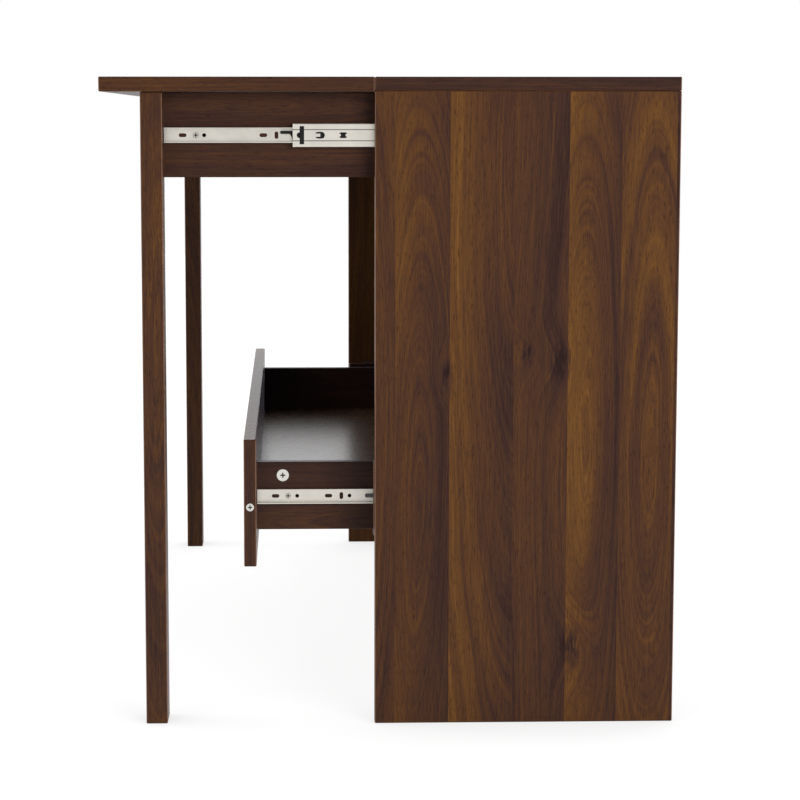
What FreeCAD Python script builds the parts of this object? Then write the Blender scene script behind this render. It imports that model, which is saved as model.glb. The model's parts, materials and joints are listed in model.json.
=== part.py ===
import FreeCAD, Part
import math
import os
from collections import defaultdict
from dataclasses import dataclass

from FreeCAD import Vector

# Extending console desk: a shallow cabinet with a drawer, a leaf that folds over onto the
# fixed top, and a leg frame that slides out on telescopic ball-bearing slides to carry the leaf.
# Millimetres. +X is the desk's width, -Y its front, +Z up. The origin is on the floor, under the
# middle of the desk as it stands with the leaf laid out.

# Overall sizes
DESK_WIDTH = 1220.0
DESK_HEIGHT = 762.0
CABINET_DEPTH = 355.0
LEAF_DEPTH = 318.0

# Boards
PANEL_THICKNESS = 16.0
TOP_THICKNESS = 16.0
LEAF_THICKNESS = 17.0
BACK_THICKNESS = 15.0
BACK_BOTTOM = 120.0
EDGE_BREAK = 1.0
SEAM_GAP = 0.6

# Leg frame
LEG_WIDTH = 45.0
LEG_DEPTH = 25.3
LEG_INSET = 6.0
LEAF_OVERHANG = 47.0
RAIL_THICKNESS = 15.0
RAIL_HEIGHT = 98.7
LEAF_CLEARANCE = 0.3
LEG_STOP_GAP = 1.0
FRAME_BACK_GAP = 3.0

# Drawer
DRAWER_OPENING = 140.0
DRAWER_STOP_GAP = 1.0
DRAWER_FRONT_THICKNESS = 15.0
DRAWER_FRONT_HEIGHT = 153.8
DRAWER_FRONT_BOTTOM = 179.6
DRAWER_SIDE_THICKNESS = 15.0
DRAWER_SIDE_HEIGHT = 82.2
DRAWER_SIDE_BOTTOM = 221.7
DRAWER_BACK_GAP = 10.0
DRAWER_FRONT_LAP = 18.0
DRAWER_LEG_GAP = 3.0
DRAWER_BOTTOM_THICKNESS = 5.0
DRAWER_BOTTOM_RISE = 10.0
GROOVE_DEPTH = 6.0
GROOVE_CLEARANCE = 0.15

# Drawer bearers
BEARER_THICKNESS = 16.0
BEARER_HEIGHT = 90.0
BEARER_BACK_GAP = 20.0
PACKING_LENGTH = 60.0
PACKING_INSET = 25.0

# Telescopic slides, across their thickness from the moving board to the fixed one
SLIDE_THICKNESS = 12.7
SHEET = 1.2
BEND_RATIO = 1.67
OUTER_HEIGHT = 35.0
MIDDLE_HEIGHT = 27.8
INNER_HEIGHT = 17.5
INNER_TIP = 7.2
MIDDLE_BACK = 10.0
MIDDLE_TIP = 2.5
OUTER_TIP = 2.5
JOGGLE_HEIGHT = 12.0
JOGGLE_DEPTH = 0.25
CREASE_WIDTH = 0.9
CREASE_DEPTH = 0.5
SLIDE_SETBACK = 2.0
SLIDE_END_GAP = 1.0
FRAME_SLIDE_BACK_GAP = 88.0
FRAME_SLIDE_RISE = 48.85
FRAME_MIDDLE_PULLED = 95.0
DRAWER_SLIDE_BACK_GAP = 38.0

# Ball cages
CAGE_LENGTH = 90.0
CAGE_SHEET = 0.7
CAGE_GAP = 0.4
CAGE_RIM = 1.0
INNER_BALL_RADIUS = 2.1
OUTER_BALL_RADIUS = 1.35
INNER_RACE_OFFSET = 5.0
OUTER_RACE_OFFSET = 6.0
RACE_CLEARANCE = 0.1
CAGE_HOLE_CLEARANCE = 0.2
BALLS_PER_ROW = 3
BALL_END_MARGIN = 12.0

# Punchings, bumper and release lever, measured from a section's front end
SLOT_HEIGHT = 4.4
SLOT_LENGTH = 9.0
UPRIGHT_SLOT_HEIGHT = 8.5
UPRIGHT_SLOT_WIDTH = 4.4
PUNCHED_HOLE_RADIUS = 2.3
PILOT_DEPTH = 8.0
FRAME_SLOTS_AT = (21.7, 115.5)
FRAME_UPRIGHT_SLOT_AT = 130.8
FRAME_HOLES_AT = (46.7,)
DRAWER_SLOTS_AT = (22.0, 85.8)
DRAWER_UPRIGHT_SLOT_AT = 101.2
DRAWER_HOLES_AT = (48.0, 111.0)
TONGUE_HOLE_AT = 31.5
TONGUE_HOLE_LENGTH = 11.6
TONGUE_HOLE_HEIGHT = 7.8
TONGUE_LENGTH = 6.3
TONGUE_HEIGHT = 3.7
EARED_HOLE_AT = 58.6
EARED_HOLE_LENGTH = 10.5
EARED_HOLE_HEIGHT = 6.7
EAR_RADIUS = 1.7
EAR_INSET = 0.9
BUMPER_AT = 8.0
BUMPER_WIDTH = 5.2
BUMPER_HEIGHT = 21.0
BUMPER_EYE_RADIUS = 3.3
BUMPER_EYE_BORE = 2.0
BUMPER_CLEARANCE = 0.1
BUMPER_STAND = 0.3
LEVER_PIVOT_AT = 158.0
LEVER_HEEL = 9.0
LEVER_TOP = 5.0
LEVER_FOOT = 5.5
LEVER_NECK = 12.0
LEVER_SWEEP = 3.0
LEVER_SWEEP_BULGE = 0.75
FRAME_TAIL_REACH = 23.0
FRAME_TAIL_SPAN = (1.4, 5.0)
DRAWER_TAIL_REACH = 28.4
DRAWER_TAIL_SPAN = (-2.1, 2.2)
LEVER_THICKNESS = 3.0
LEVER_PIN_RADIUS = 2.0
LEVER_CLEARANCE = 0.08
LEVER_SIDE_GAP = 0.2

# Fold-over hinges
HINGE_LENGTH = 50.0
HINGE_PLATE_WIDTH = 22.0
HINGE_PLATE_THICKNESS = 2.0
HINGE_BARREL_RADIUS = 2.0
HINGE_PIN_RADIUS = 1.0
HINGE_PIN_CLEARANCE = 0.05
HINGE_RISE = 0.25
HINGE_CLEARANCE = 0.25
HINGE_SPACING = 430.0
HINGE_SCREW_SPACING = 32.0
HINGE_SCREW_AT = 14.0

# Fasteners
SCREW_HEAD_RADIUS = 3.4
SCREW_SHANK_RADIUS = 1.7
SCREW_LENGTH = 12.0
SCREW_CLEARANCE = 0.05
SLIDE_SCREW_AT = 37.0
CAM_RADIUS = 7.5
CAM_DEPTH = 12.4
CAM_CLEARANCE = 0.1
CAM_RECESS_LENGTH = 8.0
CAM_RECESS_WIDTH = 1.4
CAM_RECESS_DEPTH = 1.8
CAM_BOLT_RADIUS = 3.0
CAM_BOLT_BITE = 10.0
CAM_BOLT_PASSAGE = 0.6
CABINET_CAM_SETBACK = 24.0
CABINET_CAM_INSET = 45.0
DRAWER_CAM_SETBACK = 31.8
DRAWER_CAM_DROP = 16.2
DOWEL_RADIUS = 4.0
DOWEL_CLEARANCE = 0.05
DOWEL_SHALLOW = 9.0
DOWEL_DEEP = 20.0
DOWEL_SPREAD = 32.0
FRONT_RAIL_DOWEL_SPREAD = 16.0
CABINET_DOWEL_INSET = 90.0
DRAWER_DOWEL_RISE = 48.0
END_SCREW_HEAD_RADIUS = 5.0
END_SCREW_SHANK_RADIUS = 2.5
END_SCREW_LENGTH = 26.0
END_SCREW_RISE = 72.0

# Places worked out from those sizes
HALF_WIDTH = DESK_WIDTH / 2
PANEL_INNER = HALF_WIDTH - PANEL_THICKNESS
CABINET_FRONT = (LEAF_DEPTH - CABINET_DEPTH) / 2
CABINET_BACK = CABINET_FRONT + CABINET_DEPTH
BACK_PANEL_FRONT = CABINET_BACK - BACK_THICKNESS
LEAF_FRONT = CABINET_FRONT - LEAF_DEPTH
LEAF_REAR = CABINET_FRONT - SEAM_GAP
TOP_UNDERSIDE = DESK_HEIGHT - TOP_THICKNESS
FRAME_TOP = DESK_HEIGHT - LEAF_THICKNESS - LEAF_CLEARANCE
RAIL_BOTTOM = FRAME_TOP - RAIL_HEIGHT
LEG_OUTER = HALF_WIDTH - LEG_INSET
LEG_INNER = LEG_OUTER - LEG_WIDTH
LEG_FRONT = LEAF_FRONT + LEAF_OVERHANG
LEG_REAR = LEG_FRONT + LEG_DEPTH
RAIL_OUTER = PANEL_INNER - SLIDE_THICKNESS
RAIL_INNER = RAIL_OUTER - RAIL_THICKNESS
FRAME_TRAVEL = CABINET_FRONT - LEG_REAR - LEG_STOP_GAP
RAIL_REAR = BACK_PANEL_FRONT - FRAME_BACK_GAP - FRAME_TRAVEL
FRAME_SLIDE_Z = RAIL_BOTTOM + FRAME_SLIDE_RISE
FRONT_RAIL_Y = LEG_FRONT + (LEG_DEPTH - RAIL_THICKNESS) / 2

DRAWER_FRONT_END = LEG_INNER - DRAWER_LEG_GAP
DRAWER_SIDE_OUTER = DRAWER_FRONT_END - DRAWER_FRONT_LAP
DRAWER_SIDE_INNER = DRAWER_SIDE_OUTER - DRAWER_SIDE_THICKNESS
DRAWER_FRONT_REAR = CABINET_FRONT - DRAWER_OPENING
DRAWER_FRONT_FACE = DRAWER_FRONT_REAR - DRAWER_FRONT_THICKNESS
DRAWER_TRAVEL = DRAWER_OPENING - DRAWER_STOP_GAP
DRAWER_REAR = BACK_PANEL_FRONT - DRAWER_BACK_GAP - DRAWER_TRAVEL
DRAWER_SIDE_TOP = DRAWER_SIDE_BOTTOM + DRAWER_SIDE_HEIGHT
DRAWER_SLIDE_Z = DRAWER_SIDE_BOTTOM + DRAWER_SIDE_HEIGHT / 2
DRAWER_FLOOR_UNDER = DRAWER_SIDE_BOTTOM + DRAWER_BOTTOM_RISE
BEARER_INNER = DRAWER_SIDE_OUTER + SLIDE_THICKNESS
BEARER_OUTER = BEARER_INNER + BEARER_THICKNESS
BEARER_LENGTH = BACK_PANEL_FRONT - BEARER_BACK_GAP - CABINET_FRONT

SLIDE_FRONT = CABINET_FRONT + SLIDE_SETBACK
FRAME_SLIDE_LENGTH = BACK_PANEL_FRONT - FRAME_SLIDE_BACK_GAP - SLIDE_FRONT
DRAWER_SLIDE_LENGTH = BACK_PANEL_FRONT - DRAWER_SLIDE_BACK_GAP - SLIDE_FRONT

HINGE_AXIS_Y = CABINET_FRONT - SEAM_GAP / 2
HINGE_AXIS_Z = DESK_HEIGHT + HINGE_RISE

AXIS_X = Vector(1, 0, 0)
AXIS_Y = Vector(0, 1, 0)
AXIS_Z = Vector(0, 0, 1)
SIDES = {"right": 1, "left": -1}

boards = {}
bores = defaultdict(list)
groups = defaultdict(list)


def box_between(x0, x1, y0, y1, z0, z1):
    """A box from any two opposite corners."""
    low = Vector(min(x0, x1), min(y0, y1), min(z0, z1))
    return Part.makeBox(abs(x1 - x0), abs(y1 - y0), abs(z1 - z0), low)


def board(name, x0, x1, y0, y1, z0, z1):
    """A laminated board with broken edges, drilled later."""
    blank = box_between(x0, x1, y0, y1, z0, z1)
    boards[name] = blank.makeChamfer(EDGE_BREAK, blank.Edges)


def drill(cutter, *names):
    """Marks a cutter to be taken out of the named boards."""
    for name in names:
        bores[name].append(cutter)


def rod(radius, start, direction, length):
    """A round bar from start along direction."""
    return Part.makeCylinder(radius, length, start, direction)


def fused(first, *others):
    """One solid from touching shapes, with the seams between them taken out."""
    return first.fuse(list(others)).removeSplitter()


def slot_cutter(x0, x1, y_middle, z_middle, length, height):
    """A slot with rounded ends, cut across a web from x0 to x1; the longer way sets its run."""
    radius = min(length, height) / 2
    half_run = max(length, height) / 2 - radius
    run = AXIS_Y if length > height else AXIS_Z
    middle = Vector(x0, y_middle, z_middle)
    ends = [rod(radius, middle + run * (half_run * way), AXIS_X, x1 - x0) for way in (-1, 1)]
    half_y = half_run if run is AXIS_Y else radius
    half_z = half_run if run is AXIS_Z else radius
    body = box_between(x0, x1, y_middle - half_y, y_middle + half_y, z_middle - half_z, z_middle + half_z)
    return fused(body, *ends)


# Fasteners
def countersunk(point, direction, head, shank, length, clearance=0.0):
    """A countersunk screw whose flat head lies at point, or its hole when given a clearance."""
    cone = Part.makeCone(head + clearance, shank + clearance, head - shank, point, direction)
    return fused(cone, rod(shank + clearance, point, direction, length + clearance))


def add_screw(node, point, direction, *names):
    """Puts a board screw in a group and drills its hole through the named boards."""
    sizes = (SCREW_HEAD_RADIUS, SCREW_SHANK_RADIUS, SCREW_LENGTH)
    groups[node].append(countersunk(point, direction, *sizes))
    drill(countersunk(point, direction, *sizes, SCREW_CLEARANCE), *names)


def add_dowel(node, point, direction, into, back, into_name, back_name):
    """A dowel across the joint at point, reaching into one board and back into the other."""
    start = point - direction * back
    groups[node].append(rod(DOWEL_RADIUS, start, direction, into + back))
    drill(rod(DOWEL_RADIUS + DOWEL_CLEARANCE, start, direction, into + back), into_name, back_name)


def add_cam(node, cam_board, mate_board, face_point, inward, towards, setback, bolt_depth):
    """A cam lock let into a board's face, and the bolt that it draws in from the mating board."""
    cam = rod(CAM_RADIUS, face_point, inward, CAM_DEPTH)
    heart = face_point + inward * bolt_depth
    passage = rod(CAM_BOLT_RADIUS + CAM_BOLT_PASSAGE, heart, towards, setback)
    cross = towards.cross(inward)
    for along, over in ((towards, cross), (cross, towards)):
        corner = face_point - along * (CAM_RECESS_LENGTH / 2) - over * (CAM_RECESS_WIDTH / 2)
        far = face_point + along * (CAM_RECESS_LENGTH / 2) + over * (CAM_RECESS_WIDTH / 2)
        far = far + inward * CAM_RECESS_DEPTH
        cam = cam.cut(box_between(corner.x, far.x, corner.y, far.y, corner.z, far.z))
    groups[node].append(cam.cut(passage))
    groups[node].append(rod(CAM_BOLT_RADIUS, heart, towards, setback + CAM_BOLT_BITE))
    drill(rod(CAM_RADIUS + CAM_CLEARANCE, face_point, inward, CAM_DEPTH), cam_board)
    drill(passage, cam_board)
    bolt_hole = rod(CAM_BOLT_RADIUS + DOWEL_CLEARANCE, heart + towards * setback, towards, CAM_BOLT_BITE)
    drill(bolt_hole, mate_board)


# Telescopic slides. A section is drawn with X across its thickness from the moving board's face,
# Y from its front end backwards and Z from its middle line, then set in place.
def rounded_u(tip, back, half_height, radius):
    """The outline of a U lying on its side, open at tip and rounded where it meets back."""
    way = math.copysign(1.0, back - tip)
    turn = radius * (1 - math.sqrt(0.5))
    upper = [Vector(tip, 0, half_height), Vector(back - way * radius, 0, half_height)]
    bend = Vector(back - way * turn, 0, half_height - turn)
    after = Vector(back, 0, half_height - radius)
    flip = [Vector(p.x, 0, -p.z) for p in (after, bend, upper[1], upper[0])]
    edges = [
        Part.LineSegment(*upper).toShape(),
        Part.Arc(upper[1], bend, after).toShape(),
        Part.LineSegment(after, flip[0]).toShape(),
        Part.Arc(flip[0], flip[1], flip[2]).toShape(),
        Part.LineSegment(flip[2], flip[3]).toShape(),
        Part.LineSegment(flip[3], upper[0]).toShape(),
    ]
    return Part.Face(Part.Wire(edges))


def channel(tip, back, height, sheet, length):
    """A rolled channel of even sheet thickness, with its web at back and its flanges ending at tip."""
    way = math.copysign(1.0, back - tip)
    radius = sheet * BEND_RATIO
    outside = rounded_u(tip, back, height / 2, radius)
    inside = rounded_u(tip - way * sheet, back - way * sheet, height / 2 - sheet, radius - sheet)
    return outside.cut(inside).extrude(AXIS_Y * length)


@dataclass(frozen=True)
class Slide:
    """One kind of telescopic slide and where its sections stand."""

    length: float
    outer_front: float
    middle_front: float
    inner_front: float
    face: float
    middle_line: float
    slots: tuple
    upright_slot: float
    holes: tuple
    tail_reach: float
    tail_span: tuple

    def place(self, shape, sign, front):
        """Sets a drawn section on the right or left side, with its front end at front."""
        placed = shape if sign > 0 else shape.mirror(Vector(), AXIS_X)
        placed.translate(Vector(sign * self.face, front, self.middle_line))
        return placed

    def point(self, sign, across, front, back_from_front):
        """A point on the slide's middle line."""
        return Vector(sign * (self.face + across), front + back_from_front, self.middle_line)

    def screw_places(self):
        """How far behind its front end a section is screwed on."""
        return (SLIDE_SCREW_AT, self.length - SLIDE_SCREW_AT)


def race_cutters(across, middle, ball_radius, length):
    """The rolled grooves that a row of balls runs in, above and below the middle line."""
    radius = ball_radius + RACE_CLEARANCE
    return [rod(radius, Vector(across, 0, way * middle), AXIS_Y, length) for way in (1, -1)]


INNER_RACE_Z = (INNER_HEIGHT / 2 + MIDDLE_HEIGHT / 2 - SHEET) / 2
OUTER_RACE_Z = (MIDDLE_HEIGHT / 2 + OUTER_HEIGHT / 2 - SHEET) / 2


def outer_section(slide):
    """The section screwed to the fixed board."""
    section = channel(OUTER_TIP, SLIDE_THICKNESS, OUTER_HEIGHT, SHEET, slide.length)
    return section.cut(race_cutters(OUTER_RACE_OFFSET, OUTER_RACE_Z, OUTER_BALL_RADIUS, slide.length))


def middle_section(slide):
    """The middle section, with its joggled web, punchings and the slot for its bumper."""
    section = channel(MIDDLE_TIP, MIDDLE_BACK, MIDDLE_HEIGHT, SHEET, slide.length)
    web = MIDDLE_BACK - SHEET
    half = JOGGLE_HEIGHT / 2
    section = fused(section, box_between(web - JOGGLE_DEPTH, web, 0, slide.length, -half, half))
    cutters = [box_between(MIDDLE_BACK - JOGGLE_DEPTH, MIDDLE_BACK, 0, slide.length, -half, half)]
    cutters += race_cutters(INNER_RACE_OFFSET, INNER_RACE_Z, INNER_BALL_RADIUS, slide.length)
    cutters += race_cutters(OUTER_RACE_OFFSET, OUTER_RACE_Z, OUTER_BALL_RADIUS, slide.length)
    for way in (-1, 1):
        crease = (way * half, way * (half + CREASE_WIDTH))
        cutters.append(box_between(MIDDLE_BACK - CREASE_DEPTH, MIDDLE_BACK, 0, slide.length, *crease))
    x0 = web - SHEET
    x1 = MIDDLE_BACK + SHEET
    tongue_hole = slot_cutter(x0, x1, TONGUE_HOLE_AT, 0, TONGUE_HOLE_LENGTH, TONGUE_HOLE_HEIGHT)
    tongue_root = TONGUE_HOLE_AT - TONGUE_HOLE_LENGTH / 2
    tongue_half = TONGUE_HEIGHT / 2
    tongue = box_between(x0, x1, tongue_root, tongue_root + TONGUE_LENGTH, -tongue_half, tongue_half)
    cutters.append(tongue_hole.cut(tongue))
    eared_hole = slot_cutter(x0, x1, EARED_HOLE_AT, 0, EARED_HOLE_LENGTH, EARED_HOLE_HEIGHT)
    ear_spread = EARED_HOLE_LENGTH / 2 - EAR_INSET
    ear_places = [EARED_HOLE_AT + way * ear_spread for way in (-1, 1)]
    ears = [rod(EAR_RADIUS, Vector(x0, at, 0), AXIS_X, x1 - x0) for at in ear_places]
    cutters.append(eared_hole.cut(ears))
    rise = BUMPER_HEIGHT / 2
    cutters.append(box_between(x0, x1, BUMPER_AT, BUMPER_AT + BUMPER_WIDTH, -rise, rise))
    cutters.append(rod(BUMPER_EYE_RADIUS, Vector(x0, BUMPER_AT, 0), AXIS_X, x1 - x0))
    return section.cut(cutters)


def bumper():
    """The plastic stop let into the middle section's web: a bar with a half-round eye before it."""
    rise = BUMPER_HEIGHT / 2 - BUMPER_CLEARANCE
    front = BUMPER_AT + BUMPER_CLEARANCE
    rear = BUMPER_AT + BUMPER_WIDTH - BUMPER_CLEARANCE
    x0 = MIDDLE_BACK - SHEET
    x1 = MIDDLE_BACK + BUMPER_STAND
    middle = Vector(x0, BUMPER_AT, 0)
    eye = rod(BUMPER_EYE_RADIUS - BUMPER_CLEARANCE, middle, AXIS_X, x1 - x0)
    bar = fused(box_between(x0, x1, front, rear, -rise, rise), eye)
    bore = rod(BUMPER_EYE_BORE, middle, AXIS_X, x1 - x0)
    return bar.cut(bore.common(box_between(x0, x1, BUMPER_AT - BUMPER_EYE_RADIUS, front, -rise, rise)))


def inner_section(slide):
    """The section screwed to the moving board, with the lever's pivot standing on its web."""
    section = channel(INNER_TIP, 0, INNER_HEIGHT, SHEET, slide.length)
    pivot_reach = SHEET + LEVER_SIDE_GAP + LEVER_THICKNESS + LEVER_SIDE_GAP
    pivot = rod(LEVER_PIN_RADIUS, Vector(0, LEVER_PIVOT_AT, 0), AXIS_X, pivot_reach)
    cutters = race_cutters(INNER_RACE_OFFSET, INNER_RACE_Z, INNER_BALL_RADIUS, slide.length)
    for at in slide.slots:
        cutters.append(slot_cutter(-SHEET, 2 * SHEET, at, 0, SLOT_LENGTH, SLOT_HEIGHT))
    upright = (UPRIGHT_SLOT_WIDTH, UPRIGHT_SLOT_HEIGHT)
    cutters.append(slot_cutter(-SHEET, 2 * SHEET, slide.upright_slot, 0, *upright))
    for at in slide.holes:
        cutters.append(rod(PUNCHED_HOLE_RADIUS, Vector(-SHEET, at, 0), AXIS_X, 3 * SHEET))
    return fused(section.cut(cutters), pivot)


def release_lever(tail_reach, tail_span):
    """The plastic lever that lets the slide part: a round-tipped tail, swept into a block on its pivot."""
    x0 = SHEET + LEVER_SIDE_GAP
    under, over = tail_span
    half = (over - under) / 2
    tip = LEVER_PIVOT_AT - tail_reach
    neck = LEVER_PIVOT_AT - LEVER_NECK
    shoulder = neck + LEVER_SWEEP
    heel = LEVER_PIVOT_AT + LEVER_HEEL
    tail_under = Vector(x0, tip + half, under)
    tail_over = Vector(x0, tip + half, over)
    neck_under = Vector(x0, neck, under)
    foot = Vector(x0, shoulder, -LEVER_FOOT)
    sweep = Vector(x0, neck + LEVER_SWEEP_BULGE * LEVER_SWEEP, (under - LEVER_FOOT) / 2)
    corners = [foot, Vector(x0, heel, -LEVER_FOOT), Vector(x0, heel, LEVER_TOP)]
    if over < LEVER_TOP:
        corners += [Vector(x0, shoulder, LEVER_TOP), Vector(x0, neck, over)]
    corners.append(tail_over)
    edges = [
        Part.LineSegment(tail_under, neck_under).toShape(),
        Part.Arc(neck_under, sweep, foot).toShape(),
        *[Part.LineSegment(a, b).toShape() for a, b in zip(corners, corners[1:])],
        Part.Arc(tail_over, Vector(x0, tip, under + half), tail_under).toShape(),
    ]
    plate = Part.Face(Part.Wire(edges)).extrude(AXIS_X * LEVER_THICKNESS)
    eye = rod(LEVER_PIN_RADIUS + LEVER_CLEARANCE, Vector(0, LEVER_PIVOT_AT, 0), AXIS_X, SLIDE_THICKNESS)
    return plate.cut(eye)


def ball_cage(web_back, race_across, race_z, ball_radius):
    """A sheet cage with a row of balls above and below: returns the cage and its balls."""
    height = 2 * race_z + CAGE_SHEET
    tip = race_across - ball_radius - CAGE_HOLE_CLEARANCE - CAGE_RIM
    cage = channel(tip, web_back, height, CAGE_SHEET, CAGE_LENGTH)
    pitch = (CAGE_LENGTH - 2 * BALL_END_MARGIN) / max(BALLS_PER_ROW - 1, 1)
    places = [BALL_END_MARGIN + pitch * count for count in range(BALLS_PER_ROW)]
    seats = [Vector(race_across, at, way * race_z) for at in places for way in (1, -1)]
    reach = ball_radius + CAGE_SHEET
    hole_radius = ball_radius + CAGE_HOLE_CLEARANCE
    holes = [rod(hole_radius, seat - AXIS_Z * reach, AXIS_Z, 2 * reach) for seat in seats]
    return cage.cut(holes), [Part.makeSphere(ball_radius, seat) for seat in seats]


def add_slides(kind, slide, moving_boards, fixed_boards):
    """Both slides of one kind: sections, cages, balls, bumpers, levers and screws."""
    inner_cage_back = INNER_TIP + CAGE_GAP + CAGE_SHEET
    outer_cage_back = MIDDLE_BACK + CAGE_GAP + CAGE_SHEET
    cages = {
        "inner": (inner_cage_back, INNER_RACE_OFFSET, INNER_RACE_Z, INNER_BALL_RADIUS),
        "outer": (outer_cage_back, OUTER_RACE_OFFSET, OUTER_RACE_Z, OUTER_BALL_RADIUS),
    }
    half_gap = (slide.length - CAGE_LENGTH) / 2
    cage_fronts = {
        "inner": (slide.inner_front + slide.middle_front) / 2 + half_gap,
        "outer": (slide.middle_front + slide.outer_front) / 2 + half_gap,
    }
    for side, sign in SIDES.items():
        names = {part: f"{kind}_slide_{part}_{side}" for part in ("outer", "middle", "inner")}
        boards[names["outer"]] = slide.place(outer_section(slide), sign, slide.outer_front)
        boards[names["middle"]] = slide.place(middle_section(slide), sign, slide.middle_front)
        boards[names["inner"]] = slide.place(inner_section(slide), sign, slide.inner_front)
        groups[f"{kind}_slide_bumpers"].append(slide.place(bumper(), sign, slide.middle_front))
        lever = release_lever(slide.tail_reach, slide.tail_span)
        boards[f"{kind}_release_lever_{side}"] = slide.place(lever, sign, slide.inner_front)
        for level, sizes in cages.items():
            cage, balls = ball_cage(*sizes)
            groups[f"{kind}_{level}_cages"].append(slide.place(cage, sign, cage_fronts[level]))
            groups[f"{kind}_{level}_balls"] += [slide.place(ball, sign, cage_fronts[level]) for ball in balls]
        for at in slide.holes:
            pilot = slide.point(sign, 0, slide.inner_front, at)
            drill(rod(PUNCHED_HOLE_RADIUS, pilot, AXIS_X * -sign, PILOT_DEPTH), moving_boards[side])
        for at in slide.screw_places():
            seat = slide.point(sign, SHEET, slide.inner_front, at)
            add_screw(f"{kind}_slide_screws", seat, AXIS_X * -sign, names["inner"], moving_boards[side])
            seat = slide.point(sign, SLIDE_THICKNESS - SHEET, slide.outer_front, at)
            add_screw("cabinet_slide_screws", seat, AXIS_X * sign, names["outer"], fixed_boards[side])


# Cabinet
def build_cabinet():
    """Side panels, fixed top, back panel, drawer bearers, and what joins them."""
    for side, sign in SIDES.items():
        panel = f"side_panel_{side}"
        inner = sign * PANEL_INNER
        board(panel, inner, sign * HALF_WIDTH, CABINET_FRONT, CABINET_BACK, 0, TOP_UNDERSIDE)
        bearer = f"drawer_bearer_{side}"
        bearer_low = DRAWER_SLIDE_Z - BEARER_HEIGHT / 2
        bearer_high = DRAWER_SLIDE_Z + BEARER_HEIGHT / 2
        bearer_rear = CABINET_FRONT + BEARER_LENGTH
        across = (sign * BEARER_INNER, sign * BEARER_OUTER)
        board(bearer, *across, CABINET_FRONT, bearer_rear, bearer_low, bearer_high)
        for front in (CABINET_FRONT + PACKING_INSET, bearer_rear - PACKING_INSET - PACKING_LENGTH):
            across = (sign * BEARER_OUTER, inner)
            packing = box_between(*across, front, front + PACKING_LENGTH, bearer_low, bearer_high)
            groups["bearer_packing_blocks"].append(packing)

        middle = sign * (PANEL_INNER + PANEL_THICKNESS / 2)
        inward = AXIS_X * sign
        for inset in (CABINET_FRONT + CABINET_CAM_INSET, CABINET_BACK - CABINET_CAM_INSET):
            face = Vector(inner, inset, TOP_UNDERSIDE - CABINET_CAM_SETBACK)
            join = (panel, "fixed_top", face, inward, AXIS_Z, CABINET_CAM_SETBACK, PANEL_THICKNESS / 2)
            add_cam("cabinet_cam_fittings", *join)
        for inset in (CABINET_FRONT + CABINET_DOWEL_INSET, CABINET_BACK - CABINET_DOWEL_INSET):
            point = Vector(middle, inset, TOP_UNDERSIDE)
            add_dowel("cabinet_dowels", point, AXIS_Z, DOWEL_SHALLOW, DOWEL_DEEP, "fixed_top", panel)
        for height in (BACK_BOTTOM + CABINET_DOWEL_INSET, TOP_UNDERSIDE - CABINET_DOWEL_INSET):
            face = Vector(inner - sign * CABINET_CAM_SETBACK, BACK_PANEL_FRONT, height)
            join = ("back_panel", panel, face, AXIS_Y, inward, CABINET_CAM_SETBACK, BACK_THICKNESS / 2)
            add_cam("cabinet_cam_fittings", *join)

    board("fixed_top", -HALF_WIDTH, HALF_WIDTH, CABINET_FRONT, CABINET_BACK, TOP_UNDERSIDE, DESK_HEIGHT)
    board("back_panel", -PANEL_INNER, PANEL_INNER, BACK_PANEL_FRONT, CABINET_BACK, BACK_BOTTOM, TOP_UNDERSIDE)


# Leaf and its hinges
def hinge_plate(middle, way, own_spans, other_spans):
    """One plate of a hinge with its knuckles; way is +1 behind the seam and -1 before it."""
    half = HINGE_LENGTH / 2
    edge = HINGE_AXIS_Y + way * HINGE_PLATE_WIDTH
    low = DESK_HEIGHT - HINGE_PLATE_THICKNESS
    plate = box_between(middle - half, middle + half, HINGE_AXIS_Y, edge, low, DESK_HEIGHT)
    knuckles = []
    for start, end in own_spans:
        knuckles.append(rod(HINGE_BARREL_RADIUS, hinge_point(middle + start), AXIS_X, end - start))
    room = []
    for start, end in other_spans:
        radius = HINGE_BARREL_RADIUS + HINGE_CLEARANCE
        span = end - start + 2 * HINGE_CLEARANCE
        room.append(rod(radius, hinge_point(middle + start - HINGE_CLEARANCE), AXIS_X, span))
    bore = rod(HINGE_PIN_RADIUS + HINGE_PIN_CLEARANCE, hinge_point(middle - half), AXIS_X, HINGE_LENGTH)
    return fused(plate.cut(room), *knuckles).cut(bore)


def hinge_point(x):
    """The point of the fold-over axis at x."""
    return Vector(x, HINGE_AXIS_Y, HINGE_AXIS_Z)


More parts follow.
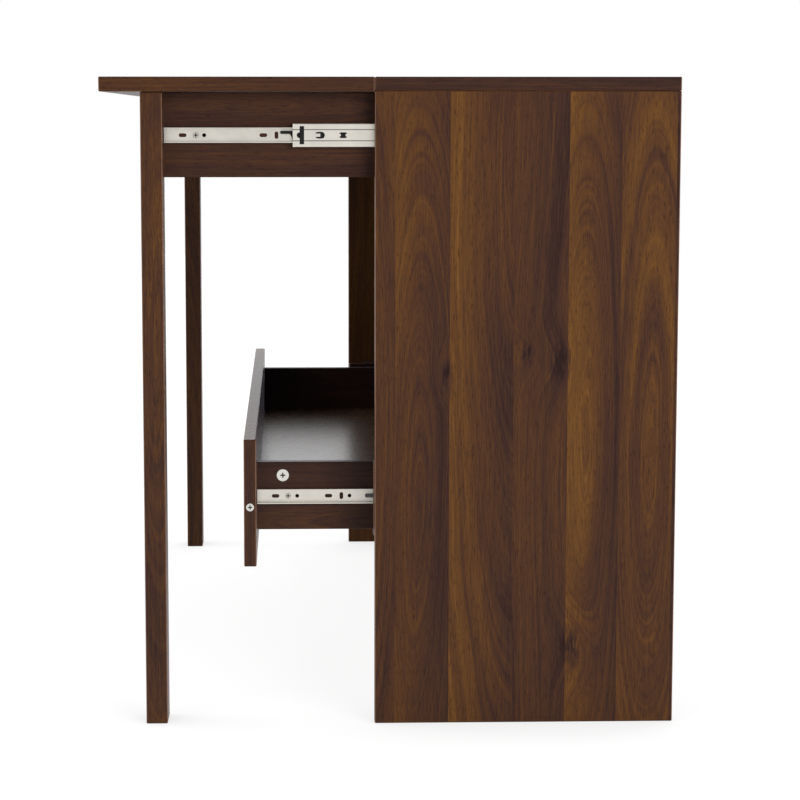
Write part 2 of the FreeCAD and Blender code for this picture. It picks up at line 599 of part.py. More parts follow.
def build_leaf():
    """The leaf, and the three flush hinges on which it folds over onto the fixed top."""
    board("leaf", -HALF_WIDTH, HALF_WIDTH, LEAF_FRONT, LEAF_REAR, DESK_HEIGHT - LEAF_THICKNESS, DESK_HEIGHT)
    half = HINGE_LENGTH / 2
    middle_half = HINGE_LENGTH / 4
    ends = ((-half, -middle_half), (middle_half, half))
    centre = ((-middle_half + HINGE_CLEARANCE, middle_half - HINGE_CLEARANCE),)
    room = HINGE_LENGTH + 2 * HINGE_CLEARANCE
    low = DESK_HEIGHT - HINGE_PLATE_THICKNESS
    high = HINGE_AXIS_Z + HINGE_BARREL_RADIUS
    for middle in (-HINGE_SPACING, 0.0, HINGE_SPACING):
        start = middle - half - HINGE_CLEARANCE
        barrel_room = rod(HINGE_BARREL_RADIUS + HINGE_CLEARANCE, hinge_point(start), AXIS_X, room)
        drill(barrel_room, "leaf", "fixed_top")
        groups["hinge_pins"].append(rod(HINGE_PIN_RADIUS, hinge_point(middle - half), AXIS_X, HINGE_LENGTH))
        for name, way, own, other in (("fixed", 1, ends, centre), ("leaf", -1, centre, ends)):
            carrier = "fixed_top" if name == "fixed" else "leaf"
            plates = f"hinge_{name}_plates"
            plate = hinge_plate(middle, way, own, other)
            edge = HINGE_AXIS_Y + way * (HINGE_PLATE_WIDTH + HINGE_CLEARANCE)
            drill(box_between(start, start + room, HINGE_AXIS_Y, edge, low, high), carrier)
            for shift in (-HINGE_SCREW_SPACING / 2, HINGE_SCREW_SPACING / 2):
                point = Vector(middle + shift, HINGE_AXIS_Y + way * HINGE_SCREW_AT, DESK_HEIGHT)
                add_screw(f"hinge_{name}_screws", point, -AXIS_Z, carrier)
                sizes = (SCREW_HEAD_RADIUS, SCREW_SHANK_RADIUS, SCREW_LENGTH, SCREW_CLEARANCE)
                plate = plate.cut(countersunk(point, -AXIS_Z, *sizes))
            groups[plates].append(plate)


# Leg frame
def build_leg_frame():
    """Two legs joined by a front rail, with side rails on the slides and a rail across their ends."""
    rail_z = (RAIL_BOTTOM, FRAME_TOP)
    front_rail_middle = FRONT_RAIL_Y + RAIL_THICKNESS / 2
    for side, sign in SIDES.items():
        leg = f"leg_{side}"
        rail = f"frame_rail_{side}"
        board(leg, sign * LEG_INNER, sign * LEG_OUTER, LEG_FRONT, LEG_REAR, 0, FRAME_TOP)
        board(rail, sign * RAIL_INNER, sign * RAIL_OUTER, LEG_REAR, RAIL_REAR, *rail_z)
        for way in (-1, 1):
            height = FRAME_SLIDE_Z + way * DOWEL_SPREAD
            point = Vector(sign * (RAIL_INNER + RAIL_THICKNESS / 2), LEG_REAR, height)
            add_dowel("frame_dowels", point, AXIS_Y, DOWEL_DEEP, DOWEL_SHALLOW, rail, leg)
            point = Vector(sign * RAIL_INNER, RAIL_REAR - RAIL_THICKNESS / 2, height)
            add_dowel("frame_dowels", point, AXIS_X * sign, DOWEL_SHALLOW, DOWEL_DEEP, rail, "frame_rear_rail")
            height = FRAME_SLIDE_Z + way * FRONT_RAIL_DOWEL_SPREAD
            point = Vector(sign * LEG_INNER, front_rail_middle, height)
            add_dowel("frame_dowels", point, AXIS_X * sign, DOWEL_DEEP, DOWEL_DEEP, leg, "frame_front_rail")
    front = (FRONT_RAIL_Y, FRONT_RAIL_Y + RAIL_THICKNESS)
    board("frame_front_rail", -LEG_INNER, LEG_INNER, *front, *rail_z)
    board("frame_rear_rail", -RAIL_INNER, RAIL_INNER, RAIL_REAR - RAIL_THICKNESS, RAIL_REAR, *rail_z)


# Drawer
def build_drawer():
    """The drawer's front, sides, back and grooved-in bottom, with its cam locks and screws."""
    front_top = DRAWER_FRONT_BOTTOM + DRAWER_FRONT_HEIGHT
    front_y = (DRAWER_FRONT_FACE, DRAWER_FRONT_REAR)
    side_z = (DRAWER_SIDE_BOTTOM, DRAWER_SIDE_TOP)
    back_front = DRAWER_REAR - DRAWER_SIDE_THICKNESS
    board("drawer_front", -DRAWER_FRONT_END, DRAWER_FRONT_END, *front_y, DRAWER_FRONT_BOTTOM, front_top)
    board("drawer_back", -DRAWER_SIDE_INNER, DRAWER_SIDE_INNER, back_front, DRAWER_REAR, *side_z)
    floor_half = DRAWER_SIDE_INNER + GROOVE_DEPTH
    floor_y = (DRAWER_FRONT_REAR - GROOVE_DEPTH, back_front + GROOVE_DEPTH)
    floor_z = (DRAWER_FLOOR_UNDER, DRAWER_FLOOR_UNDER + DRAWER_BOTTOM_THICKNESS)
    slack = GROOVE_CLEARANCE
    boards["drawer_bottom"] = box_between(-floor_half, floor_half, *floor_y, *floor_z)
    groove = box_between(
        -floor_half - slack, floor_half + slack,
        floor_y[0] - slack, floor_y[1] + slack,
        floor_z[0], floor_z[1] + slack,
    )
    drill(groove, "drawer_front", "drawer_back")
    for side, sign in SIDES.items():
        name = f"drawer_side_{side}"
        drill(groove, name)
        outer = sign * DRAWER_SIDE_OUTER
        board(name, sign * DRAWER_SIDE_INNER, outer, DRAWER_FRONT_REAR, DRAWER_REAR, *side_z)
        middle = sign * (DRAWER_SIDE_INNER + DRAWER_SIDE_THICKNESS / 2)
        face = Vector(outer, DRAWER_FRONT_REAR + DRAWER_CAM_SETBACK, DRAWER_SIDE_TOP - DRAWER_CAM_DROP)
        join = (name, "drawer_front", face, AXIS_X * -sign, -AXIS_Y, DRAWER_CAM_SETBACK)
        add_cam("drawer_cam_fittings", *join, DRAWER_SIDE_THICKNESS / 2)
        point = Vector(middle, DRAWER_FRONT_REAR, DRAWER_SIDE_BOTTOM + DRAWER_DOWEL_RISE)
        add_dowel("drawer_dowels", point, -AXIS_Y, DOWEL_SHALLOW, DOWEL_DEEP, "drawer_front", name)
        point = Vector(sign * DRAWER_SIDE_INNER, DRAWER_REAR - DRAWER_SIDE_THICKNESS / 2, point.z)
        add_dowel("drawer_dowels", point, AXIS_X * sign, DOWEL_SHALLOW, DOWEL_DEEP, name, "drawer_back")
        height = DRAWER_FRONT_BOTTOM + END_SCREW_RISE
        point = Vector(sign * DRAWER_FRONT_END, DRAWER_FRONT_REAR - DRAWER_FRONT_THICKNESS / 2, height)
        sizes = (END_SCREW_HEAD_RADIUS, END_SCREW_SHANK_RADIUS, END_SCREW_LENGTH)
        groups["drawer_end_screws"].append(countersunk(point, AXIS_X * -sign, *sizes))
        drill(countersunk(point, AXIS_X * -sign, *sizes, SCREW_CLEARANCE), "drawer_front")


def on_both_sides(stem):
    """The right and left boards of one name."""
    return {side: f"{stem}_{side}" for side in SIDES}


FRAME_SLIDE = Slide(
    length=FRAME_SLIDE_LENGTH,
    outer_front=SLIDE_FRONT,
    middle_front=CABINET_FRONT - FRAME_MIDDLE_PULLED,
    inner_front=LEG_REAR + SLIDE_END_GAP,
    face=RAIL_OUTER,
    middle_line=FRAME_SLIDE_Z,
    slots=FRAME_SLOTS_AT,
    upright_slot=FRAME_UPRIGHT_SLOT_AT,
    holes=FRAME_HOLES_AT,
    tail_reach=FRAME_TAIL_REACH,
    tail_span=FRAME_TAIL_SPAN,
)
DRAWER_SLIDE = Slide(
    length=DRAWER_SLIDE_LENGTH,
    outer_front=SLIDE_FRONT,
    middle_front=SLIDE_FRONT,
    inner_front=DRAWER_FRONT_REAR + SLIDE_END_GAP,
    face=DRAWER_SIDE_OUTER,
    middle_line=DRAWER_SLIDE_Z,
    slots=DRAWER_SLOTS_AT,
    upright_slot=DRAWER_UPRIGHT_SLOT_AT,
    holes=DRAWER_HOLES_AT,
    tail_reach=DRAWER_TAIL_REACH,
    tail_span=DRAWER_TAIL_SPAN,
)


def main():
    """Builds every piece and writes one file for each node."""
    build_cabinet()
    build_leaf()
    build_leg_frame()
    build_drawer()
    add_slides("frame", FRAME_SLIDE, on_both_sides("frame_rail"), on_both_sides("side_panel"))
    add_slides("drawer", DRAWER_SLIDE, on_both_sides("drawer_side"), on_both_sides("drawer_bearer"))
    os.makedirs("parts", exist_ok=True)
    for name, blank in boards.items():
        drilled = blank.cut(bores[name]) if bores[name] else blank
        drilled.exportStep(f"parts/{name}.step")
    for name, solids in groups.items():
        Part.makeCompound(solids).exportStep(f"parts/{name}.step")


main()
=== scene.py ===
"""Looks of an extending console desk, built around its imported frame.

The boards keep their construction shapes and get a planked walnut laminate, each with its own
figure. The slides, hinges and fittings get plated steel and moulded plastic. Screws and cam locks
are new surfaces with their cross recesses. Lengths are metres, in the frame's axes: +X the desk's
width, -Y its front, +Z up.
"""

from __future__ import annotations

import itertools
import json
import logging
import math
import random
import re
from dataclasses import dataclass, field
from enum import Enum, IntEnum
from typing import Mapping, Sequence

import bpy
import numpy as np
from bpy.types import ID, Material, Node, NodeSocket, NodeTree, Object
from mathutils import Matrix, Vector

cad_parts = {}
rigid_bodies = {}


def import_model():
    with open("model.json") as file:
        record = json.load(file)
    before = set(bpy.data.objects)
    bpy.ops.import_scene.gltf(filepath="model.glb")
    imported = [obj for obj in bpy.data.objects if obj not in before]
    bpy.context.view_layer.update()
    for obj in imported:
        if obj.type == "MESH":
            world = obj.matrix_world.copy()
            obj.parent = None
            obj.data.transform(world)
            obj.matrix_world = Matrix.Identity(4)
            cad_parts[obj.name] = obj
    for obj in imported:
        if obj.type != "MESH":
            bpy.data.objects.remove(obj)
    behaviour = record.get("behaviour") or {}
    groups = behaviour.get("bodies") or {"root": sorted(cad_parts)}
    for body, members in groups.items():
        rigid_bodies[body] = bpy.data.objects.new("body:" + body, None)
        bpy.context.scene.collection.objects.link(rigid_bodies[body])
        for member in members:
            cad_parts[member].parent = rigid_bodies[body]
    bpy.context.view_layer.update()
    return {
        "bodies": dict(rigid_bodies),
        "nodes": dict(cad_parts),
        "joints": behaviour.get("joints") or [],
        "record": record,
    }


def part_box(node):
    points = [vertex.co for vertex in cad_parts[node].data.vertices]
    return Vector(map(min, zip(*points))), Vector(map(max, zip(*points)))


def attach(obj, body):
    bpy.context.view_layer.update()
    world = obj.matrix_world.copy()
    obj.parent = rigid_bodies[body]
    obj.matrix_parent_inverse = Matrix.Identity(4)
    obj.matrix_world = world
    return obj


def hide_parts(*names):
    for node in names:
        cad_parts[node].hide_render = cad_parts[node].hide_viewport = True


LOG = logging.getLogger("desk")
PICTURE_SIDE = 800
SIDES = {"right": 1.0, "left": -1.0}
KINDS = ("frame", "drawer")
# The point attribute that carries painted shade in the recesses and round the rims of screws and cams
PAINTED_SHADE = "painted_shade"
HALF = 0.5
TINY = 1e-6
SHARP_ANGLE = math.radians(32.0)
Colour = tuple[float, float, float]
Point = tuple[float, float, float]
Limits = tuple[float, float]
Stops = Sequence[tuple[float, Colour]]


class Axis(IntEnum):
    """One of the frame's three directions, as its place in a vector."""

    X = 0
    Y = 1
    Z = 2

    @property
    def unit(self) -> np.ndarray:
        """The direction as a unit vector."""
        return np.eye(3)[self.value]


# Shading
class Field:
    """A number that varies over a surface, with the sums that the finishes are written in."""

    def __init__(self, graph: Graph, socket: NodeSocket) -> None:
        """Wraps a node's output."""
        self.graph = graph
        self.socket = socket

    def work(self, operation: str, *others: Field | float) -> Field:
        """One arithmetic step, named as the Math node has it, with its further operands."""
        node = self.graph.add("ShaderNodeMath", dict(enumerate((self, *others))), operation=operation)
        return Field(self.graph, node.outputs[0])

    def __add__(self, other: Field | float) -> Field:
        """Sum."""
        return self.work("ADD", other)

    def __sub__(self, other: Field | float) -> Field:
        """Difference."""
        return self.work("SUBTRACT", other)

    def __mul__(self, other: Field | float) -> Field:
        """Product."""
        return self.work("MULTIPLY", other)

    def __truediv__(self, other: Field | float) -> Field:
        """Quotient."""
        return self.work("DIVIDE", other)

    def size(self) -> Field:
        """The value without its sign."""
        return self.work("ABSOLUTE")

    def root(self) -> Field:
        """Square root."""
        return self.work("SQRT")

    def larger(self, other: Field) -> Field:
        """The larger of two values."""
        return self.work("MAXIMUM", other)

    def swing(self) -> Field:
        """How far the value lies to either side of one half."""
        return self - HALF

    def rise(self, low: float, high: float, smooth: bool = True) -> Field:
        """A step from 0 at low to 1 at high.

        Args:
            low: where the step starts.
            high: where it ends, which may be the smaller.
            smooth: whether it starts and ends gently.

        Returns:
            The step as a field.
        """
        inputs = {"Value": self, "From Min": low, "From Max": high}
        course = "SMOOTHSTEP" if smooth else "LINEAR"
        node = self.graph.add("ShaderNodeMapRange", inputs, interpolation_type=course)
        return Field(self.graph, node.outputs["Result"])

    def choose(self, at_zero: Field | float, at_one: Field | float) -> Field:
        """Goes from one value to another as this field goes from 0 to 1."""
        node = self.graph.add("ShaderNodeMix", {0: self, 2: at_zero, 3: at_one}, data_type="FLOAT")
        return Field(self.graph, node.outputs[0])


class Graph:
    """A tree of shader nodes and the steps that add to it."""

    def __init__(self, tree: NodeTree) -> None:
        """Takes on a tree."""
        self.tree = tree

    def add(
        self, kind: str, inputs: Mapping[str | int, object] | None = None, **settings: object
    ) -> Node:
        """Adds a node.

        Args:
            kind: the node's type.
            inputs: what its inputs get, by name or number.
            settings: its properties by name.

        Returns:
            The new node.
        """
        node = self.tree.nodes.new(kind)
        for name, value in settings.items():
            setattr(node, name, value)
        for place, value in (inputs or {}).items():
            self.feed(node.inputs[place], value)
        return node

    def feed(self, socket: NodeSocket, value: object) -> None:
        """Links a field or an output to a socket, or sets the socket's own value.

        Args:
            socket: the input.
            value: a field, an output or a plain value.
        """
        if isinstance(value, Field):
            value = value.socket
        if isinstance(value, NodeSocket):
            self.tree.links.new(value, socket)
        else:
            socket.default_value = value

    def split(self, kind: str, source: NodeSocket) -> list[Field]:
        """The parts of a vector or a colour, by the kind of node that parts it."""
        return [Field(self, out) for out in self.add(kind, {0: source}).outputs]

    def axes(self, output: str) -> list[Field]:
        """The three parts of an output of Texture Coordinate, such as Object or Normal."""
        source = self.add("ShaderNodeTexCoord")
        return self.split("ShaderNodeSeparateXYZ", source.outputs[output])

    def ray(self, kind: str) -> Field:
        """1 for rays of one kind, such as Camera or Glossy, else 0."""
        return Field(self, self.add("ShaderNodeLightPath").outputs[f"Is {kind} Ray"])

    def noise(
        self, point: Sequence[Field], cells: Sequence[float], detail: float = 2.0, roughness: float = 0.5
    ) -> Field:
        """Smooth noise about 0.5.

        Args:
            point: the point's three parts, in metres.
            cells: noise cells a metre along each of them.
            detail: how many finer layers are added.
            roughness: how strong those are.

        Returns:
            The noise as a field.
        """
        scaled = {place: part * count for place, (part, count) in enumerate(zip(point, cells))}
        vector = self.add("ShaderNodeCombineXYZ", scaled).outputs[0]
        inputs = {"Vector": vector, "Scale": 1.0, "Detail": detail, "Roughness": roughness}
        node = self.add("ShaderNodeTexNoise", inputs, noise_dimensions="3D")
        return Field(self, node.outputs["Fac"])

    def ramp(self, position: Field, stops: Stops, stepped: bool = False) -> NodeSocket:
        """A colour ramp.

        Args:
            position: the place on the ramp, from 0 to 1.
            stops: places and their colours.
            stepped: whether each colour holds up to the next stop.

        Returns:
            The ramp's colour.
        """
        node = self.add("ShaderNodeValToRGB", {0: position})
        node.color_ramp.interpolation = "CONSTANT" if stepped else "LINEAR"
        elements = node.color_ramp.elements
        elements[0].position = stops[0][0]
        elements[1].position = stops[-1][0]
        for place, _ in stops[1:-1]:
            elements.new(place)
        for element, (place, colour) in zip(elements, stops):
            element.position = place
            element.color = (*colour, 1.0)
        return node.outputs[0]

    def tint(self, colour: NodeSocket, other: Colour, share: Field) -> NodeSocket:
        """Mixes a plain colour into a varying one by a share from 0 to 1."""
        inputs = {0: share, 6: colour, 7: (*other, 1.0)}
        return self.add("ShaderNodeMix", inputs, data_type="RGBA").outputs[2]


class Shader(Graph):
    """A material's nodes around one principled surface."""

    def __init__(self, name: str) -> None:
        """Starts a material.

        Args:
            name: the material's name.
        """
        self.material = bpy.data.materials.new(name)
        self.material.use_nodes = True
        super().__init__(self.material.node_tree)
        self.surface = self.tree.nodes["Principled BSDF"]

    def set(self, **values: object) -> None:
        """Sets or links the surface's inputs; an underscore in a name stands for a space."""
        for name, value in values.items():
            self.feed(self.surface.inputs[name.replace("_", " ")], value)

    def relief(self, height: Field, depth: float, strength: float) -> None:
        """Gives the surface a bump of a depth in metres; strength is how much of it shows."""
        bump = self.add("ShaderNodeBump", {"Height": height, "Distance": depth, "Strength": strength})
        self.set(Normal=bump.outputs[0], Coat_Normal=bump.outputs[0])


@dataclass(frozen=True)
class Plank:
    """One strip of the laminate's printed figure.

    Its tone leans from one side to the other. Its rings close at heart, a share of the strip's
    width, and at arch, a share of the board's length.
    """

    width: float
    tone: float
    lean: float
    heart: float
    arch: float


@dataclass(frozen=True)
class Knot:
    """A dark eye in the figure, with the grain flowing round it.

    The flow and the pupil are counted in radii, and the bend in ring pitches.
    """

    across: float
    along: float
    radius: float
    stretch: float = 0.5
    sway: float = 0.02
    flow: float = 4.0
    bend: float = 6.0
    pupil: float = 1.7
    blot_limits: Limits = (0.30, 0.62)
    depth: float = 0.55


@dataclass(frozen=True)
class Layer:
    """A layer of noise: its cells a metre across and along the grain, and its share in the tone."""

    over: float
    along: float
    shift: float = 0.0
    detail: float = 2.0
    roughness: float = 0.5
    share: float = 1.0


@dataclass(frozen=True)
class Spot:
    """Where each point of a board lies in its figure.

    On a sawn end, where cut is 1, along and over follow the edge tape.
    """

    graph: Shader
    point: Sequence[Field]
    normal: Sequence[Field]
    cut: Field
    along: Field
    over: Field
    strip: Mapping[str, Field]
    seed: Field

    def noise(self, layer: Layer, over: Field | None = None, along: Field | None = None) -> Field:
        """One layer's noise, about 0.5; over and along may stand in for the point's own places."""
        point = (over or self.over, along or self.along, self.seed + layer.shift)
        return self.graph.noise(point, (layer.over, layer.along, 1.0), layer.detail, layer.roughness)

    def swing(self, layer: Layer, over: Field | None = None) -> Field:
        """One layer's noise about 0, by its share."""
        return self.noise(layer, over).swing() * layer.share


WALNUT_TONES: Stops = (
    (0.0, (0.0180, 0.0085, 0.0070)),
    (0.28, (0.0380, 0.0172, 0.0128)),
    (0.52, (0.0680, 0.0285, 0.0128)),
    (0.76, (0.1060, 0.0450, 0.0125)),
    (1.0, (0.1600, 0.0700, 0.0190)),
)

# The layers of the laminate's figure, of which the rings are counted in their own pitch
WANDER = Layer(9.0, 2.2)
BANDS = Layer(62.0, 0.7, shift=0.5, detail=1.0, share=0.54)
RINGS = Layer(1.0, 1.4, shift=1.5, roughness=0.6, share=0.50)
LINES = Layer(1100.0, 5.0, shift=2.5, roughness=0.6, share=0.46)
CLOUD = Layer(13.0, 3.0, shift=3.5, detail=3.0, share=0.42)
FIBRE = Layer(720.0, 26.0, shift=4.5, roughness=0.65)
PORES = Layer(760.0, 105.0, shift=5.5)
# The layer that varies the painted highlight on arrises
ARRIS_HIGHLIGHT_NOISE = Layer(60.0, 20.0, shift=6.5)
BLOTS = Layer(260.0, 70.0, shift=7.5, detail=3.0)

# What strips laid by chance may have: shares of the mean width, then tone, lean, heart and arch
STRIP_WIDTHS: Limits = (0.75, 1.25)
STRIP_LOOKS: tuple[Limits, ...] = ((0.36, 0.64), (0.3, 0.75), (-0.4, 1.4), (0.0, 1.0))

# The hearts that a ramp's range from 0 to 1 stands for
HEART_LOW = -1.0
HEART_SPAN = 3.0


@dataclass(frozen=True)
class Walnut:
    """Planked walnut laminate on one board: strips of arched figure, fibre, pores and a painted highlight
    on arrises.
    """

    name: str
    grain: Axis
    across: Axis
    low: Vector
    high: Vector
    seed: int
    planks: tuple[Plank, ...] = ()
    knots: tuple[Knot, ...] = ()
    plank_width: float = 0.064
    strip_step: float = 37.0
    ring_pitch: float = 0.0030
    ring_draw: float = 0.085
    sway: float = 0.026
    cut_limit: float = 0.7
    cut_sway: float = 0.008
    cut_level: float = 0.3
    cut_figure: float = 0.8
    figure: float = 1.0
    lean_swing: float = -1.3
    lightness: float = 0.0
    tape_tone: float = 0.0
    streak: float = 0.52
    roughness: float = 0.36
    roughness_play: float = 1.0
    fibre_play: float = 0.16
    pore_play: float = 0.10
    index: float = 1.42
    gloss: float = 0.09
    pore_limits: Limits = (0.55, 0.70)
    pore_share: float = 0.50
    pore_depth: float = 0.00012
    fibre_height: float = 0.4
    relief: float = 0.35
    # Painted highlight: a lighter tone on upright arrises and its share
    arris_highlight_tone: Colour = (0.300, 0.170, 0.115)
    arris_highlight_share: float = 0.62
    arris_limits: Limits = (0.94, 0.80)
    arris_tilt: Limits = (0.4, 0.2)
    arris_highlight_least: float = 0.6
    arris_highlight_play: float = 0.8
    haze: float = 0.0
    haze_tone: Colour = (0.80, 0.78, 1.0)
    haze_roughness: float = 0.3
    coat: float = 0.0
    coat_roughness: float = 0.34
    coat_index: float = 1.7

    @property
    def deep(self) -> Axis:
        """The board's third axis, beside its grain and the way its strips lie."""
        return Axis(3 - self.grain - self.across)

    def extent(self, axis: Axis) -> float:
        """The board's length along an axis."""
        return self.high[axis] - self.low[axis]

    def strips(self) -> tuple[Plank, ...]:
        """The strips over the board's width.

        Returns:
            Those listed, or else uneven ones from the seed.
        """
        if self.planks:
            return self.planks
        draw = random.Random(self.seed)
        span = self.extent(self.across)
        count = max(1, round(span / self.plank_width))
        strips = []
        for _ in range(count):
            width = draw.uniform(*STRIP_WIDTHS) * span / count
            strips.append(Plank(width, *(draw.uniform(*limits) for limits in STRIP_LOOKS)))
        return tuple(strips)

    def strip_values(self, graph: Graph, place: Field) -> dict[str, Field]:
        """What the strip under each point has, read from two stepped ramps.

        Args:
            graph: the material's nodes.
            place: the point's place over the board's width, from 0 to 1.

        Returns:
            The strip's start, width, tone, lean, heart and arch, and the point's place within it.
        """
        strips = self.strips()
        total = sum(strip.width for strip in strips)
        starts = np.cumsum([0.0] + [strip.width / total for strip in strips])
        looks = []
        places = []
        for start, strip in zip(starts, strips):
            heart = (strip.heart - HEART_LOW) / HEART_SPAN
            looks.append((start, (strip.tone, strip.lean, heart)))
            places.append((start, (start, strip.width / total, strip.arch)))
        found: dict[str, Field] = {}
        for names, stops in ((("tone", "lean", "heart"), looks), (("start", "width", "arch"), places)):
            if len(stops) == 1:
                stops.append((1.0, stops[0][1]))
            ramp = graph.ramp(place, stops, stepped=True)
            found |= dict(zip(names, graph.split("ShaderNodeSeparateColor", ramp)))
        found["heart"] = found["heart"] * HEART_SPAN + HEART_LOW
        found["within"] = (place - found["start"]) / found["width"]
        return found

    def spot(self) -> Spot:
        """Starts the material with where each point lies.

        Returns:
            The point's place in the figure.
        """
        graph = Shader(self.name)
        point = graph.axes("Object")
        normal = graph.axes("Normal")
        cut = normal[self.grain].size().work("GREATER_THAN", self.cut_limit)
        along = cut.choose(point[self.grain], point[self.across])
        over = cut.choose(point[self.across] + point[self.deep], point[self.deep])
        share = (point[self.across] - self.low[self.across]) / self.extent(self.across)
        strip = self.strip_values(graph, cut.choose(share, HALF))
        seed = strip["start"] * self.strip_step + float(self.seed)
        return Spot(graph, point, normal, cut, along, over, strip, seed)

    def tone(self, spot: Spot, fibre: Field) -> Field:
        """Where each point lies on the ramp of tones.

        Rings are level lines of the distance from a strip's heart line, drawn out along the grain,
        or on a sawn end of the depth through the board. A knot pushes them outwards and has a
        blotched eye.

        Args:
            spot: where the point lies.
            fibre: the noise of the fibre there.

        Returns:
            The tone, from 0 for the darkest to 1 for the lightest.
        """
        strip = spot.strip
        wander = spot.swing(WANDER)
        heart = (strip["within"] - strip["heart"]) * strip["width"] * self.extent(self.across)
        heart = heart + wander * self.sway
        foot = strip["arch"] * self.extent(self.grain)
        rise = (spot.along - self.low[self.grain] - foot) * self.ring_draw
        level = spot.point[self.deep] + wander * self.cut_sway + self.cut_level
        distance = spot.cut.choose((heart * heart + rise * rise).root(), level)
        eyes = []
        for knot in self.knots:
            side = spot.point[self.across] - knot.across + wander * knot.sway
            up = (spot.point[self.grain] - knot.along) * knot.stretch
            far = (side * side + up * up).root() / knot.radius
            distance = distance + far.rise(knot.flow, 0.0) * (self.ring_pitch * knot.bend)
            blot = spot.noise(BLOTS).rise(*knot.blot_limits)
            eyes.append(far.rise(knot.pupil, 0.0) * blot * knot.depth)
        figure = spot.swing(BANDS, distance)
        figure = figure + spot.swing(RINGS, distance / self.ring_pitch)
        tone = strip["tone"] + strip["lean"].swing() * strip["within"].swing() * self.lean_swing
        tone = tone + figure * spot.cut.choose(self.figure, self.figure * self.cut_figure)
        tone = tone + spot.swing(LINES, distance) + spot.swing(CLOUD)
        tone = tone + fibre.swing() * self.streak
        tone = tone + self.lightness + spot.cut * self.tape_tone
        for eye in eyes:
            tone = tone - eye
        return tone

    def material(self) -> Material:
        """The finish: the figure, then pores and a painted highlight on arrises over it, then its sheen
        and coat.

        The painted highlight is a lighter tone on upright arrises, where the normal lies between two
        faces, varied by a noise.

        Returns:
            The material.
        """
        spot = self.spot()
        graph = spot.graph
        fibre = spot.noise(FIBRE)
        pores = spot.noise(PORES).rise(*self.pore_limits)
        colour = graph.ramp(self.tone(spot, fibre), WALNUT_TONES)
        colour = graph.tint(colour, WALNUT_TONES[0][1], pores * self.pore_share)
        # Painted highlight: a lighter tone on upright arrises, varied by a noise
        x, y, z = (part.size() for part in spot.normal)
        arris = x.larger(y).larger(z).rise(*self.arris_limits) * z.rise(*self.arris_tilt)
        arris_highlight = spot.noise(ARRIS_HIGHLIGHT_NOISE, spot.along, spot.over) * self.arris_highlight_play + self.arris_highlight_least
        colour = graph.tint(colour, self.arris_highlight_tone, arris * arris_highlight * self.arris_highlight_share)
        play = (fibre.swing() * self.fibre_play + pores * self.pore_play) * self.roughness_play
        graph.set(Base_Color=colour, Roughness=play + self.roughness)
        graph.set(IOR=self.index, Specular_IOR_Level=self.gloss)
        graph.set(Sheen_Weight=self.haze, Sheen_Roughness=self.haze_roughness)
        graph.set(Sheen_Tint=(*self.haze_tone, 1.0))
        graph.set(Coat_Weight=self.coat, Coat_Roughness=self.coat_roughness, Coat_IOR=self.coat_index)
        graph.relief(fibre * self.fibre_height - pores, self.pore_depth, self.relief)
        return graph.material


@dataclass(frozen=True)
class BareWood:
    """Unfinished wood with fine flecks along the grain, beech unless other tones are given.

    Cells are noise cells a metre, twice across the grain and then along it.
    """

    name: str
    grain: Axis
    pale: Colour = (0.50, 0.34, 0.20)
    dark: Colour = (0.36, 0.22, 0.12)
    fleck_cells: Point = (600.0, 600.0, 60.0)
    band_cells: Point = (90.0, 90.0, 8.0)
    mix: float = 0.6
    mix_shift: float = 0.1
    tone_limits: Limits = (0.2, 0.8)
    roughness: float = 0.72
    skin_depth: float = 0.0001
    relief: float = 0.3

    def material(self) -> Material:
        """The finish: flecks and wider bands, mixed alike.

        Returns:
            The material.
        """
        graph = Shader(self.name)
        point = graph.axes("Object")
        order = [*(point[axis] for axis in Axis if axis is not self.grain), point[self.grain]]
        fleck = graph.noise(order, self.fleck_cells, detail=3.0)
        band = graph.noise(order, self.band_cells)
        stops = tuple(zip(self.tone_limits, (self.dark, self.pale)))
        colour = graph.ramp(fleck * self.mix + band * self.mix - self.mix_shift, stops)
        graph.set(Base_Color=colour, Roughness=self.roughness)
        graph.relief(fleck, self.skin_depth, self.relief)
        return graph.material


